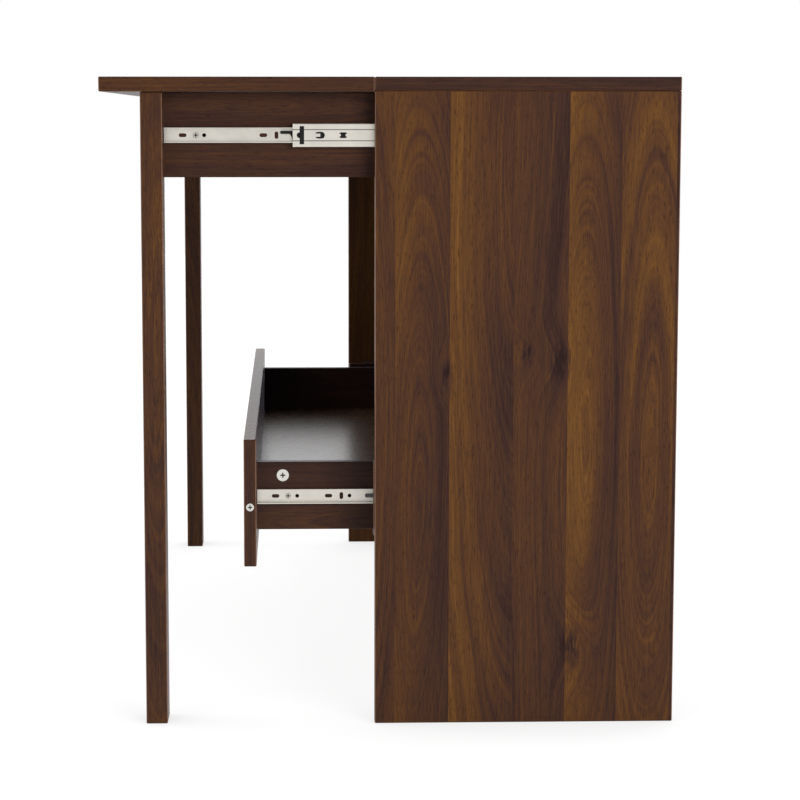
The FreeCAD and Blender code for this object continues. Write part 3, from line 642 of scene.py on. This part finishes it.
@dataclass(frozen=True)
class Metal:
    """Plated metal with a drawn or cast skin."""

    name: str
    bright: Colour
    dull: Colour
    roughness: float
    drawn: Axis | None = None
    skin_cells: float = 2600.0
    drawn_cells: float = 22.0
    haze_cells: float = 60.0
    skin_mix: float = 0.5
    haze_mix: float = 0.6
    tone_limits: Limits = (0.3, 0.72)
    skin_play: float = 0.18
    haze_play: float = 0.14
    skin_depth: float = 0.00004
    relief: float = 0.25
    # Painted shade: a dark tone from the point attribute in recesses and rims, and along the creases
    takes_painted_shade: bool = False
    painted_shade_tone: Colour = (0.012, 0.012, 0.013)
    creases: tuple[float, ...] = ()
    crease_half: float = 0.0005
    crease_edge: Limits = (1.3, 0.7)
    crease_share: float = 0.8

    def material(self) -> Material:
        """The finish. Drawn metal has lines along its length; cast metal has an even fine skin.

        Returns:
            The material.
        """
        graph = Shader(self.name)
        point = graph.axes("Object")
        cells = [self.drawn_cells if axis is self.drawn else self.skin_cells for axis in Axis]
        skin = graph.noise(point, cells, detail=3.0, roughness=0.6)
        haze = graph.noise(point, [self.haze_cells] * len(Axis), detail=3.0)
        stops = tuple(zip(self.tone_limits, (self.dull, self.bright)))
        colour = graph.ramp(skin * self.skin_mix + haze * self.haze_mix, stops)
        # Painted shade from the point attribute darkens the recesses and rims
        if self.takes_painted_shade:
            painted_shade = graph.add("ShaderNodeAttribute", attribute_name=PAINTED_SHADE)
            colour = graph.tint(colour, self.painted_shade_tone, Field(graph, painted_shade.outputs["Fac"]))
        # Painted shade: dark lines along the rolled creases
        for height in self.creases:
            edge = (self.crease_half * share for share in self.crease_edge)
            near = (point[Axis.Z] - height).size().rise(*edge)
            colour = graph.tint(colour, self.painted_shade_tone, near * self.crease_share)
        play = skin.swing() * self.skin_play + haze.swing() * self.haze_play
        graph.set(Base_Color=colour, Metallic=1.0, Roughness=play + self.roughness)
        graph.relief(skin, self.skin_depth, self.relief)
        return graph.material


@dataclass(frozen=True)
class Moulded:
    """Moulded plastic with a fine spark-eroded texture."""

    name: str
    colour: Colour
    worn: Colour
    grit_cells: float = 3200.0
    haze_cells: float = 220.0
    tone_limits: Limits = (0.45, 0.8)
    roughness: float = 0.48
    grit_play: float = 0.2
    gloss: float = 0.22
    skin_depth: float = 0.00005
    relief: float = 0.4

    def material(self) -> Material:
        """The finish: a hazy tone over an even grit.

        Returns:
            The material.
        """
        graph = Shader(self.name)
        point = graph.axes("Object")
        grit = graph.noise(point, [self.grit_cells] * len(Axis))
        haze = graph.noise(point, [self.haze_cells] * len(Axis), detail=3.0)
        colour = graph.ramp(haze, tuple(zip(self.tone_limits, (self.colour, self.worn))))
        graph.set(Base_Color=colour, Roughness=grit.swing() * self.grit_play + self.roughness)
        graph.set(Specular_IOR_Level=self.gloss)
        graph.relief(grit, self.skin_depth, self.relief)
        return graph.material


# Surfaces
def grid_faces(rows: int, columns: int) -> np.ndarray:
    """The quads between the points of a grid whose rows each join up with their own start.

    Args:
        rows: how many rows of points there are.
        columns: how many points a row has.

    Returns:
        Four point numbers for each quad, facing outwards on a turned profile.
    """
    row, column = np.meshgrid(np.arange(rows - 1), np.arange(columns), indexing="ij")
    following = (column + 1) % columns
    here = row * columns
    below = here + columns
    corners = (here + column, below + column, below + following, here + following)
    return np.stack([corner.ravel() for corner in corners], axis=1)


def turned(profile: np.ndarray, around: int) -> np.ndarray:
    """A profile turned about Z: radius and height down the profile, by angle round it.

    Args:
        profile: rows of radius and height, from the top's middle outwards and down.
        around: how many points there are round the axis.

    Returns:
        An array of points, profile rows by places round the axis by three.
    """
    angle = np.linspace(0.0, 2.0 * np.pi, around, endpoint=False)
    radius, height = profile[:, :1], profile[:, 1:]
    return np.stack([radius * np.cos(angle), radius * np.sin(angle), height + 0.0 * angle], axis=2)


@dataclass(frozen=True)
class Surface:
    """Points, the quads between them, and how much painted shade each point takes where it lies in a
    hollow.
    """

    points: np.ndarray
    faces: np.ndarray
    painted_shade: np.ndarray

    def facing(self, place: Sequence[float], outward: np.ndarray) -> Surface:
        """Moves the surface, drawn about Z with its top at the origin.

        Args:
            place: where the top's middle goes.
            outward: the way that the top then faces, a unit vector along an axis.

        Returns:
            The moved surface.
        """
        helper = np.roll(np.abs(outward), 1)
        first = np.cross(helper, outward)
        second = np.cross(outward, first)
        points = self.points @ np.stack([first, second, outward]) + np.asarray(place)
        return Surface(points, self.faces, self.painted_shade)


def mesh_piece(name: str, parts: Sequence[Surface], material: Material) -> Object:
    """Makes one object from several surfaces.

    Args:
        name: the piece's name.
        parts: the surfaces.
        material: its finish.

    Returns:
        The object, with its place in its mesh.
    """
    shifts = np.cumsum([0] + [len(part.points) for part in parts])
    points = np.concatenate([part.points for part in parts])
    faces = np.concatenate([part.faces + shift for part, shift in zip(parts, shifts)])
    painted_shade = np.concatenate([part.painted_shade for part in parts])
    mesh = bpy.data.meshes.new(name)
    mesh.from_pydata(points.tolist(), [], faces.tolist())
    # The point attribute carries painted shade to the finish
    shade = mesh.attributes.new(PAINTED_SHADE, "FLOAT", "POINT")
    shade.data.foreach_set("value", painted_shade.astype(np.float32))
    mesh.polygons.foreach_set("use_smooth", np.ones(len(faces), dtype=bool))
    mesh.set_sharp_from_angle(angle=SHARP_ANGLE)
    mesh.materials.append(material)
    mesh.validate()
    piece = bpy.data.objects.new(name, mesh)
    bpy.context.scene.collection.objects.link(piece)
    return piece


# Where a fitting's top is, and the way that it faces
Place = tuple[Sequence[float], np.ndarray]


@dataclass(frozen=True)
class CrossHead:
    """A fitting with a cross recess in its round top: a screw, or a cam lock's disc.

    The taper of the tip is in shares of the shank's radius and of the length.
    """

    head_radius: float
    shank_radius: float
    cone: float
    length: float
    recess_reach: float
    recess_width: float
    recess_depth: float
    recess_wall: float = 0.25
    recess_fade: float = 0.6
    # How much painted shade the recess and the rim take
    recess_shade: float = 0.9
    shade_rise: float = 3.0
    dome: float = 0.0
    rim: float = 0.0003
    rim_shade: float = 0.8
    rim_steps: int = 4
    lip: float = 0.0001
    taper: tuple[Limits, ...] = ((1.0, 0.82), (0.55, 0.97), (0.02, 1.0))
    around: int = 56
    rings: int = 18
    first_ring: float = 0.0005

    def profile(self) -> np.ndarray:
        """The outline from the middle of the top, over a rounded rim, down to the tip.

        Returns:
            Rows of radius and height.
        """
        top = np.linspace(self.first_ring, 1.0, self.rings) * (self.head_radius - self.rim)
        bulge = -self.dome * (top / self.head_radius) ** 2
        turn = np.linspace(0.0, 0.5 * np.pi, self.rim_steps)[1:]
        rim_radius = self.head_radius - self.rim + self.rim * np.sin(turn)
        rim_height = bulge[-1] - self.rim + self.rim * np.cos(turn)
        below = [(self.head_radius, rim_height[-1] - self.lip), (self.shank_radius, -self.cone)]
        below += [(self.shank_radius * wide, -self.length * deep) for wide, deep in self.taper]
        head = np.stack([np.r_[top, rim_radius], np.r_[bulge, rim_height]], axis=1)
        return np.concatenate([head, np.array(below)])

    def arm(self, run: np.ndarray, over: np.ndarray) -> np.ndarray:
        """How deep one arm of the cross is: steep at its sides, and fading out along its run.

        Args:
            run: how far each point lies along it.
            over: how far it lies to the side.

        Returns:
            Shares of the recess's depth.
        """
        wall = (self.recess_width / 2 - over) / (self.recess_wall * self.recess_width) + HALF
        slope = (self.recess_reach - run) / max(self.recess_fade * self.recess_reach, TINY)
        return np.clip(wall, 0.0, 1.0) * np.clip(slope, 0.0, 1.0)

    def surface(self) -> Surface:
        """The turned profile, sunk inside the cross.

        Returns:
            The surface about Z, its top's middle at the origin, with painted shade in the cross and at the
            rim.
        """
        points = turned(self.profile(), self.around)
        x, y = np.abs(points[..., 0]), np.abs(points[..., 1])
        top = points[..., 2] > -self.dome - self.rim
        sunk = top * np.maximum(self.arm(x, y), self.arm(y, x))
        points[..., 2] -= self.recess_depth * sunk
        # Painted shade: dark in the cross recess and round the rim
        edge = np.clip((np.hypot(x, y) - self.head_radius) / self.rim + 1.0, 0.0, 1.0)
        cross = np.clip(sunk * self.shade_rise, 0.0, self.recess_shade)
        painted_shade = np.maximum(cross, edge * self.rim_shade)
        rows, columns, _ = points.shape
        return Surface(points.reshape(-1, 3), grid_faces(rows, columns), painted_shade.ravel())

    def set_at(self, places: Sequence[Place]) -> list[Surface]:
        """The fitting at several places."""
        surface = self.surface()
        return [surface.facing(place, outward) for place, outward in places]


# The desk
Frame = Mapping[str, Mapping[str, Object]]


def dress(frame: Frame, node: str, material: Material) -> None:
    """Gives a construction node its finish.

    Args:
        frame: the loaded frame.
        node: the node's name.
        material: the finish.
    """
    piece = frame["nodes"][node]
    if not piece.material_slots:
        piece.data.materials.append(material)
    for slot in piece.material_slots:
        slot.material = material
    LOG.info("dressed %s with %s", node, material.name)


def settle(piece: Object, body: str, slot: str, *nodes: str) -> None:
    """Lets a new piece stand for construction nodes and ride on their body.

    Args:
        piece: the new piece.
        body: the body that carries it.
        slot: not used.
        nodes: the nodes that it stands for.
    """
    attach(piece, body)
    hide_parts(*nodes)
    LOG.info("made %s, which stands for %s", piece.name, ", ".join(nodes))


class Run(Enum):
    """The way a board's figure runs, and the way its strips lie side by side."""

    UPRIGHT = (Axis.Z, Axis.Y)
    LENGTHWAYS = (Axis.X, Axis.Y)
    CROSSWAYS = (Axis.X, Axis.Z)
    RAIL = (Axis.Y, Axis.Z)
    FLOOR = (Axis.Y, Axis.X)


# What sets each kind of board apart from the laminate's usual values
Looks = dict[str, object]
TOP: Looks = {"arris_highlight_share": 0.45}
LEG: Looks = {"streak": 0.75, "gloss": 0.12, "arris_highlight_share": 0.42}
EVEN: Looks = {"pore_depth": 0.00001, "roughness_play": 0.2}
CROSSBOARD: Looks = EVEN | {"roughness": 0.26, "gloss": 0.12, "tape_tone": -0.07}
DRAWER_END: Looks = CROSSBOARD | {"haze": 0.10}
RAIL: Looks = {"figure": 0.5, "plank_width": 0.2, "haze": 0.05, "streak": 0.36, "lightness": -0.02}
# Painted shade: the darker tone here, taken by the bearers and the drawer sides
BEARER: Looks = RAIL | {"lightness": -0.28}
DRAWER_SIDE: Looks = BEARER | {"haze": 0.10, "roughness": 0.28, "gloss": 0.11, "streak": 0.4}
DRAWER_FLOOR: Looks = EVEN | {
    "roughness": 0.27, "gloss": 1.0, "coat": 0.85, "coat_roughness": 0.26, "haze": 0.06,
    "lightness": 0.25, "pore_share": 0.12, "streak": 0.2,
}
NEAR_PANEL: Looks = {
    "ring_draw": 0.11,
    "planks": (
        Plank(0.023, tone=0.53, lean=0.58, heart=-0.90, arch=0.50),
        Plank(0.064, tone=0.48, lean=0.72, heart=0.42, arch=0.36),
        Plank(0.075, tone=0.53, lean=0.84, heart=1.05, arch=0.86),
        Plank(0.063, tone=0.41, lean=0.60, heart=1.90, arch=0.30),
        Plank(0.061, tone=0.55, lean=0.84, heart=0.30, arch=0.46),
        Plank(0.0645, tone=0.57, lean=0.50, heart=0.60, arch=0.44),
        Plank(0.0045, tone=0.30, lean=0.50, heart=-0.90, arch=0.50),
    ),
    "knots": (
        Knot(across=0.199, along=0.430, radius=0.0095),
        Knot(across=0.161, along=0.440, radius=0.0060),
        Knot(across=0.064, along=0.418, radius=0.0065),
        Knot(across=0.213, along=0.092, radius=0.0110),
    ),
}


def names(patterns: str) -> list[str]:
    """The names that spaced patterns stand for, with each choice in braces taken in turn."""
    split = ([part.split(",") for part in re.split("[{}]", pattern)] for pattern in patterns.split())
    return ["".join(choice) for parts in split for choice in itertools.product(*parts)]


@dataclass
class Boards:
    """Every laminated board: the way its figure runs, its first seed and its looks."""

    frame: Frame
    table: tuple[tuple[str, Run, int, Looks], ...] = (
        ("side_panel_right", Run.UPRIGHT, 1, NEAR_PANEL),
        ("side_panel_left", Run.UPRIGHT, 2, {}),
        ("leg_right", Run.UPRIGHT, 3, LEG),
        # Painted light: the far leg's lighter tone
        ("leg_left", Run.UPRIGHT, 4, LEG | {"lightness": 0.07}),
        ("fixed_top", Run.LENGTHWAYS, 11, TOP | {"tape_tone": -0.25}),
        ("leaf", Run.LENGTHWAYS, 12, TOP | {"tape_tone": -0.15}),
        ("back_panel", Run.CROSSWAYS, 21, CROSSBOARD),
        ("drawer_{front,back}", Run.CROSSWAYS, 22, DRAWER_END),
        ("frame_{front,rear}_rail", Run.CROSSWAYS, 24, CROSSBOARD),
        ("frame_rail_{right,left}", Run.RAIL, 31, RAIL),
        ("drawer_side_{right,left}", Run.RAIL, 33, DRAWER_SIDE),
        ("drawer_bearer_{right,left}", Run.RAIL, 35, BEARER),
        ("drawer_bottom", Run.FLOOR, 41, DRAWER_FLOOR),
    )

    def build(self) -> None:
        """Dresses every board, each with a figure of its own."""
        for patterns, run, first, looks in self.table:
            for seed, node in enumerate(names(patterns), first):
                low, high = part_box(node)
                laminate = Walnut(f"walnut_{node}", *run.value, low, high, seed, **looks)
                dress(self.frame, node, laminate.material())


SCREW = CrossHead(
    head_radius=0.0034, shank_radius=0.0017, cone=0.0017, length=0.012,
    recess_reach=0.0023, recess_width=0.0011, recess_depth=0.0012, rim=0.0009, rim_shade=1.0,
)
END_SCREW = CrossHead(
    head_radius=0.0050, shank_radius=0.0025, cone=0.0025, length=0.026,
    recess_reach=0.0028, recess_width=0.0010, recess_depth=0.0016, dome=0.0004,
)
CAM = CrossHead(
    head_radius=0.0075, shank_radius=0.0073, cone=0.0008, length=0.0124,
    recess_reach=0.0032, recess_width=0.0012, recess_depth=0.0018, rim=0.0004,
)


@dataclass
class Hardware:
    """Slides, hinges, screws, cam locks and dowels."""

    frame: Frame
    slide_screw_inset: float = 0.037
    slide_sheet: float = 0.0012
    crease_reach: float = 0.00645
    bolt_radius: float = 0.0030
    bolt_waist: float = 0.98
    bolt_cone: float = 0.0006
    bolt_bite: float = 0.010
    cabinet_cam_inset: float = 0.045
    cabinet_cam_setback: float = 0.024
    back_cam_inset: float = 0.090
    end_screw_rise: float = 0.072
    hinge_spacing: float = 0.43
    hinge_screw_spread: float = 0.016
    hinge_screw_reach: float = 0.014
    finishes: dict[str, Material] = field(default_factory=dict)

    def make_finishes(self) -> None:
        """Makes the metals, plastics and bare woods that the fittings share.

        Painted shade darkens the two rolled creases of each middle section.
        """
        creases = []
        for kind in KINDS:
            low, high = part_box(f"{kind}_slide_middle_right")
            centre = (low.z + high.z) / 2
            creases += [centre - self.crease_reach, centre + self.crease_reach]
        shared = (
            Metal("zinc_sheet", (0.76, 0.725, 0.655), (0.60, 0.57, 0.515), 0.38, Axis.Y),
            Metal(
                "zinc_middle_sheet", (0.80, 0.765, 0.69), (0.66, 0.63, 0.57), 0.38, Axis.Y,
                creases=tuple(creases),
            ),
            Metal("zinc_screws", (0.78, 0.76, 0.72), (0.60, 0.58, 0.54), 0.34, takes_painted_shade=True),
            Metal("cast_zinc", (0.80, 0.78, 0.74), (0.66, 0.64, 0.60), 0.42, takes_painted_shade=True),
            Metal("ball_steel", (0.82, 0.82, 0.82), (0.72, 0.72, 0.72), 0.14),
            Metal("bronzed_hinges", (0.13, 0.090, 0.058), (0.075, 0.052, 0.034), 0.40, Axis.X),
            Moulded("black_plastic", (0.0035, 0.0035, 0.0040), (0.010, 0.010, 0.011)),
            Moulded("grey_plastic", (0.105, 0.107, 0.112), (0.165, 0.168, 0.172)),
            # Painted shade: the packing blocks are coloured nearly black
            BareWood("shade_dark_blocks", Axis.Y, (0.030, 0.016, 0.010), (0.018, 0.009, 0.006)),
            BareWood("beech_crossways", Axis.X),
            BareWood("beech_lengthways", Axis.Y),
        )
        for finish in shared:
            self.finishes[finish.name] = finish.material()

    def dress_nodes(self) -> None:
        """Gives the construction nodes of the fittings their finishes."""
        groups = {
            "zinc_sheet": "{frame,drawer}_slide_{outer,inner}_{right,left} {frame,drawer}_outer_cages",
            "zinc_middle_sheet": "{frame,drawer}_slide_middle_{right,left}",
            "ball_steel": "{frame,drawer}_{inner,outer}_balls",
            "bronzed_hinges": "hinge_fixed_plates hinge_leaf_plates hinge_pins",
            "black_plastic": "{frame,drawer}_{slide_bumpers,inner_cages} frame_release_lever_{right,left}",
            "grey_plastic": "drawer_release_lever_{right,left}",
            "shade_dark_blocks": "bearer_packing_blocks",
            "beech_crossways": "cabinet_dowels",
            "beech_lengthways": "{frame,drawer}_dowels",
        }
        for finish, patterns in groups.items():
            for node in names(patterns):
                dress(self.frame, node, self.finishes[finish])

    def section_screws(self, kind: str, part: str) -> list[Place]:
        """Where the screws sit in one pair of slide sections.

        Args:
            kind: which pair of slides, frame or drawer.
            part: which section, inner or outer.

        Returns:
            The screws' places.
        """
        places = []
        for side, sign in SIDES.items():
            low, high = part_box(f"{kind}_slide_{part}_{side}")
            near, far = sorted((abs(low.x), abs(high.x)))
            outward = sign if part == "inner" else -sign
            x = sign * (near + self.slide_sheet if part == "inner" else far - self.slide_sheet)
            z = (low.z + high.z) / 2
            for y in (low.y + self.slide_screw_inset, high.y - self.slide_screw_inset):
                places.append(((x, y, z), outward * Axis.X.unit))
        return places

    def hinge_screws(self, way: float) -> list[Place]:
        """Where the screws sit in one plate of every hinge.

        Args:
            way: 1 for the plates behind the seam, -1 for those before it.

        Returns:
            The screws' places.
        """
        low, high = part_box("hinge_pins")
        y = (low.y + high.y) / 2 + way * self.hinge_screw_reach
        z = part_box("fixed_top")[1].z
        middles = (-self.hinge_spacing, 0.0, self.hinge_spacing)
        spread = (-self.hinge_screw_spread, self.hinge_screw_spread)
        return [((x + dx, y, z), Axis.Z.unit) for x in middles for dx in spread]

    def drawer_cams(self) -> list[Surface]:
        """The locks in the drawer sides' outer faces, with bolts into the front.

        Returns:
            The discs and bolts.
        """
        low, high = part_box("drawer_cam_fittings")
        parts = []
        for sign in SIDES.values():
            face = np.array([sign * high.x, high.y - CAM.head_radius, (low.z + high.z) / 2])
            reach = face[1] - low.y
            parts += self.lock("drawer_side_right", face, sign * Axis.X.unit, -Axis.Y.unit, reach)
        return parts

    def cabinet_cams(self) -> list[Surface]:
        """The locks in the side panels' inner faces and the back panel, with bolts into top and sides.

        Returns:
            The discs and bolts.
        """
        parts = []
        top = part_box("cabinet_cam_fittings")[1].z
        for side, sign in SIDES.items():
            panel = f"side_panel_{side}"
            low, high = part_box(panel)
            inner = sign * min(abs(low.x), abs(high.x))
            for y in (low.y + self.cabinet_cam_inset, high.y - self.cabinet_cam_inset):
                face = np.array([inner, y, high.z - self.cabinet_cam_setback])
                parts += self.lock(panel, face, -sign * Axis.X.unit, Axis.Z.unit, top - face[2])
            back_low, back_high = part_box("back_panel")
            for z in (back_low.z + self.back_cam_inset, back_high.z - self.back_cam_inset):
                face = np.array([inner - sign * self.cabinet_cam_setback, back_low.y, z])
                reach = self.cabinet_cam_setback + self.bolt_bite
                parts += self.lock("back_panel", face, -Axis.Y.unit, sign * Axis.X.unit, reach)
        return parts

    def lock(
        self, board: str, face: np.ndarray, outward: np.ndarray, towards: np.ndarray, reach: float
    ) -> list[Surface]:
        """One cam lock and its bolt, which lies in the middle of the board.

        Args:
            board: the board that the disc is let into.
            face: the middle of the disc, on the board's face.
            outward: the way that the disc faces.
            towards: the way that the bolt points.
            reach: how far the bolt's tip is from the disc's middle.

        Returns:
            The disc and the bolt.
        """
        low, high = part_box(board)
        through = int(np.abs(outward).argmax())
        depth = (high[through] - low[through]) / 2
        bolt = CrossHead(
            head_radius=self.bolt_radius, shank_radius=self.bolt_radius * self.bolt_waist,
            cone=self.bolt_cone, length=reach,
            recess_reach=0.0, recess_width=self.bolt_radius, recess_depth=0.0,
        )
        tip = face - outward * depth + towards * reach
        return [CAM.surface().facing(face, outward), bolt.surface().facing(tip, towards)]

    def build_pieces(self) -> None:
        """Makes every screw and cam lock that shows, with its cross recess."""
        fixed = self.section_screws("frame", "outer") + self.section_screws("drawer", "outer")
        low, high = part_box("drawer_front")
        y, z = (low.y + high.y) / 2, low.z + self.end_screw_rise
        ends = [((sign * high.x, y, z), sign * Axis.X.unit) for sign in SIDES.values()]
        screws = {
            "cabinet_slide_screws": ("cabinet", SCREW.set_at(fixed)),
            "frame_slide_screws": ("leg_frame", SCREW.set_at(self.section_screws("frame", "inner"))),
            "drawer_slide_screws": ("drawer", SCREW.set_at(self.section_screws("drawer", "inner"))),
            "drawer_end_screws": ("drawer", END_SCREW.set_at(ends)),
            "hinge_fixed_screws": ("cabinet", SCREW.set_at(self.hinge_screws(1.0))),
            "hinge_leaf_screws": ("fold_over_leaf", SCREW.set_at(self.hinge_screws(-1.0))),
        }
        cams = {
            "drawer_cam_fittings": ("drawer", self.drawer_cams()),
            "cabinet_cam_fittings": ("cabinet", self.cabinet_cams()),
        }
        for finish, sets in (("zinc_screws", screws), ("cast_zinc", cams)):
            for node, (body, parts) in sets.items():
                piece = mesh_piece(f"{node}_crossed", parts, self.finishes[finish])
                settle(piece, body, "screw_steel", node)

    def build(self) -> None:
        """Makes the finishes, dresses the nodes and builds the new pieces."""
        self.make_finishes()
        self.dress_nodes()
        self.build_pieces()


@dataclass(frozen=True)
class Lamp:
    """A square area lamp: where it stands, what it looks at, its side and its power in watts."""

    name: str
    place: Point
    target: Point
    side: float
    power: float


def stand(data: ID, place: Vector, forward: Vector) -> Object:
    """Stands a camera or a lamp in the scene.

    Args:
        data: the camera's or lamp's own data, whose name the object takes.
        place: where it stands.
        forward: the way that it looks.

    Returns:
        The object.
    """
    item = bpy.data.objects.new(data.name, data)
    item.location = place
    item.rotation_euler = forward.to_track_quat("-Z", "Y").to_euler()
    bpy.context.scene.collection.objects.link(item)
    return item


@dataclass
class Studio:
    """Pale floor, white surround, soft lamps and the camera."""

    eye: Point = (3.3509, -0.1193, 0.7182)
    yaw: float = 0.0304
    pitch: float = 0.1201
    focal_pixels: float = 2362.0
    centre_shift: float = 0.05
    sensor: float = 36.0
    sight: float = 50.0
    floor_half: float = 9.0
    floor_drop: float = 0.0002
    floor_tone: Colour = (0.86, 0.86, 0.86)
    floor_roughness: float = 0.9
    floor_glow: float = 0.80
    glow_limits: Limits = (1.0, 3.0)
    glow_strength: float = 1.10
    contact_reach: float = 0.16
    contact_shade: float = 0.26
    contact_samples: int = 8
    ambient: float = 0.14
    mirror_limits: Limits = (0.1, 0.7)
    mirror_far: float = 1.0
    mirror_near: float = 0.85
    lamps: tuple[Lamp, ...] = (
        Lamp("key", (4.3, 2.1, 1.6), (0.6, 0.1, 0.4), side=2.6, power=165.0),
        Lamp("side", (3.8, -3.0, 1.5), (0.0, -0.2, 0.4), side=1.8, power=25.0),
        Lamp("far", (-4.3, 1.0, 1.7), (-0.6, 0.1, 0.4), side=2.6, power=110.0),
        Lamp("overhead", (0.2, 0.0, 3.4), (0.0, 0.0, 0.0), side=3.0, power=60.0),
        Lamp("fill", (-0.4, -3.8, 2.2), (0.0, 0.0, 0.3), side=2.4, power=100.0),
        Lamp("back", (-2.6, 3.6, 2.4), (0.0, 0.2, 0.4), side=2.4, power=60.0),
    )

    def build_camera(self) -> None:
        """Sets the camera at the photograph's place and angle."""
        data = bpy.data.cameras.new("camera")
        data.sensor_width = self.sensor
        data.lens = self.focal_pixels / PICTURE_SIDE * self.sensor
        data.shift_x = self.centre_shift
        data.clip_end = self.sight
        level = math.cos(self.pitch)
        x, y = -math.cos(self.yaw) * level, math.sin(self.yaw) * level
        forward = Vector((x, y, -math.sin(self.pitch)))
        bpy.context.scene.camera = stand(data, Vector(self.eye), forward)

    def build_floor(self) -> None:
        """A white floor that shows as the surround does, with shadows of the lamps and at the feet."""
        ends = (-self.floor_half, self.floor_half)
        points = np.array([(x, y, -self.floor_drop) for x in ends for y in ends])
        graph = Shader("studio_floor")
        across, along, _ = graph.axes("Object")
        seen = graph.ray("Camera").larger(graph.ray("Glossy"))
        away = (across * across + along * along).root().rise(*self.glow_limits)
        graph.set(Base_Color=(*self.floor_tone, 1.0), Roughness=self.floor_roughness)
        graph.set(Specular_IOR_Level=0.0)
        # Painted contact shade: ambient occlusion dims the floor's glow near the feet
        reach = {"Distance": self.contact_reach}
        cover = graph.add("ShaderNodeAmbientOcclusion", reach, samples=self.contact_samples)
        clear = Field(graph, cover.outputs["AO"]) * self.contact_shade + (1.0 - self.contact_shade)
        glow = graph.add("ShaderNodeEmission", {"Strength": clear * self.glow_strength})
        share = away.choose(self.floor_glow, 1.0) * seen
        sources = {0: share, 1: graph.surface.outputs[0], 2: glow.outputs[0]}
        mix = graph.add("ShaderNodeMixShader", sources)
        graph.feed(graph.tree.nodes["Material Output"].inputs["Surface"], mix.outputs[0])
        sheet = Surface(points, np.array([[0, 2, 3, 1]]), np.zeros(len(points)))
        floor = mesh_piece("studio_floor", [sheet], graph.material)

    def build_world(self) -> None:
        """White to the camera and in mirrors, a little dimmer behind the camera, and low elsewhere."""
        world = bpy.data.worlds.new("studio")
        bpy.context.scene.world = world
        world.use_nodes = True
        world.cycles.sampling_method = "NONE"
        graph = Graph(world.node_tree)
        nearness = graph.axes("Generated")[Axis.X].rise(*self.mirror_limits, smooth=False)
        mirrored = nearness.choose(self.mirror_far, self.mirror_near)
        light = graph.ray("Glossy").choose(self.ambient, mirrored)
        background = world.node_tree.nodes["Background"]
        graph.feed(background.inputs["Color"], (1.0, 1.0, 1.0, 1.0))
        graph.feed(background.inputs["Strength"], graph.ray("Camera").choose(light, 1.0))

    def build_lamps(self) -> None:
        """Lamps on the near side, beyond, over, before and behind the desk."""
        for lamp in self.lamps:
            data = bpy.data.lights.new(lamp.name, "AREA")
            data.size = lamp.side
            data.energy = lamp.power
            place = Vector(lamp.place)
            item = stand(data, place, Vector(lamp.target) - place)
            item.visible_glossy = False

    def build(self) -> None:
        """Builds the surroundings."""
        self.build_camera()
        self.build_floor()
        self.build_world()
        self.build_lamps()
        bpy.context.scene.view_settings.view_transform = "Standard"


def main() -> None:
    """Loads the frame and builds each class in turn."""
    logging.basicConfig(level=logging.INFO, format="%(name)s: %(message)s")
    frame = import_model()
    for part in (Boards(frame), Hardware(frame), Studio()):
        LOG.info("building %s", type(part).__name__)
        part.build()


if __name__ == "__main__":
    main()
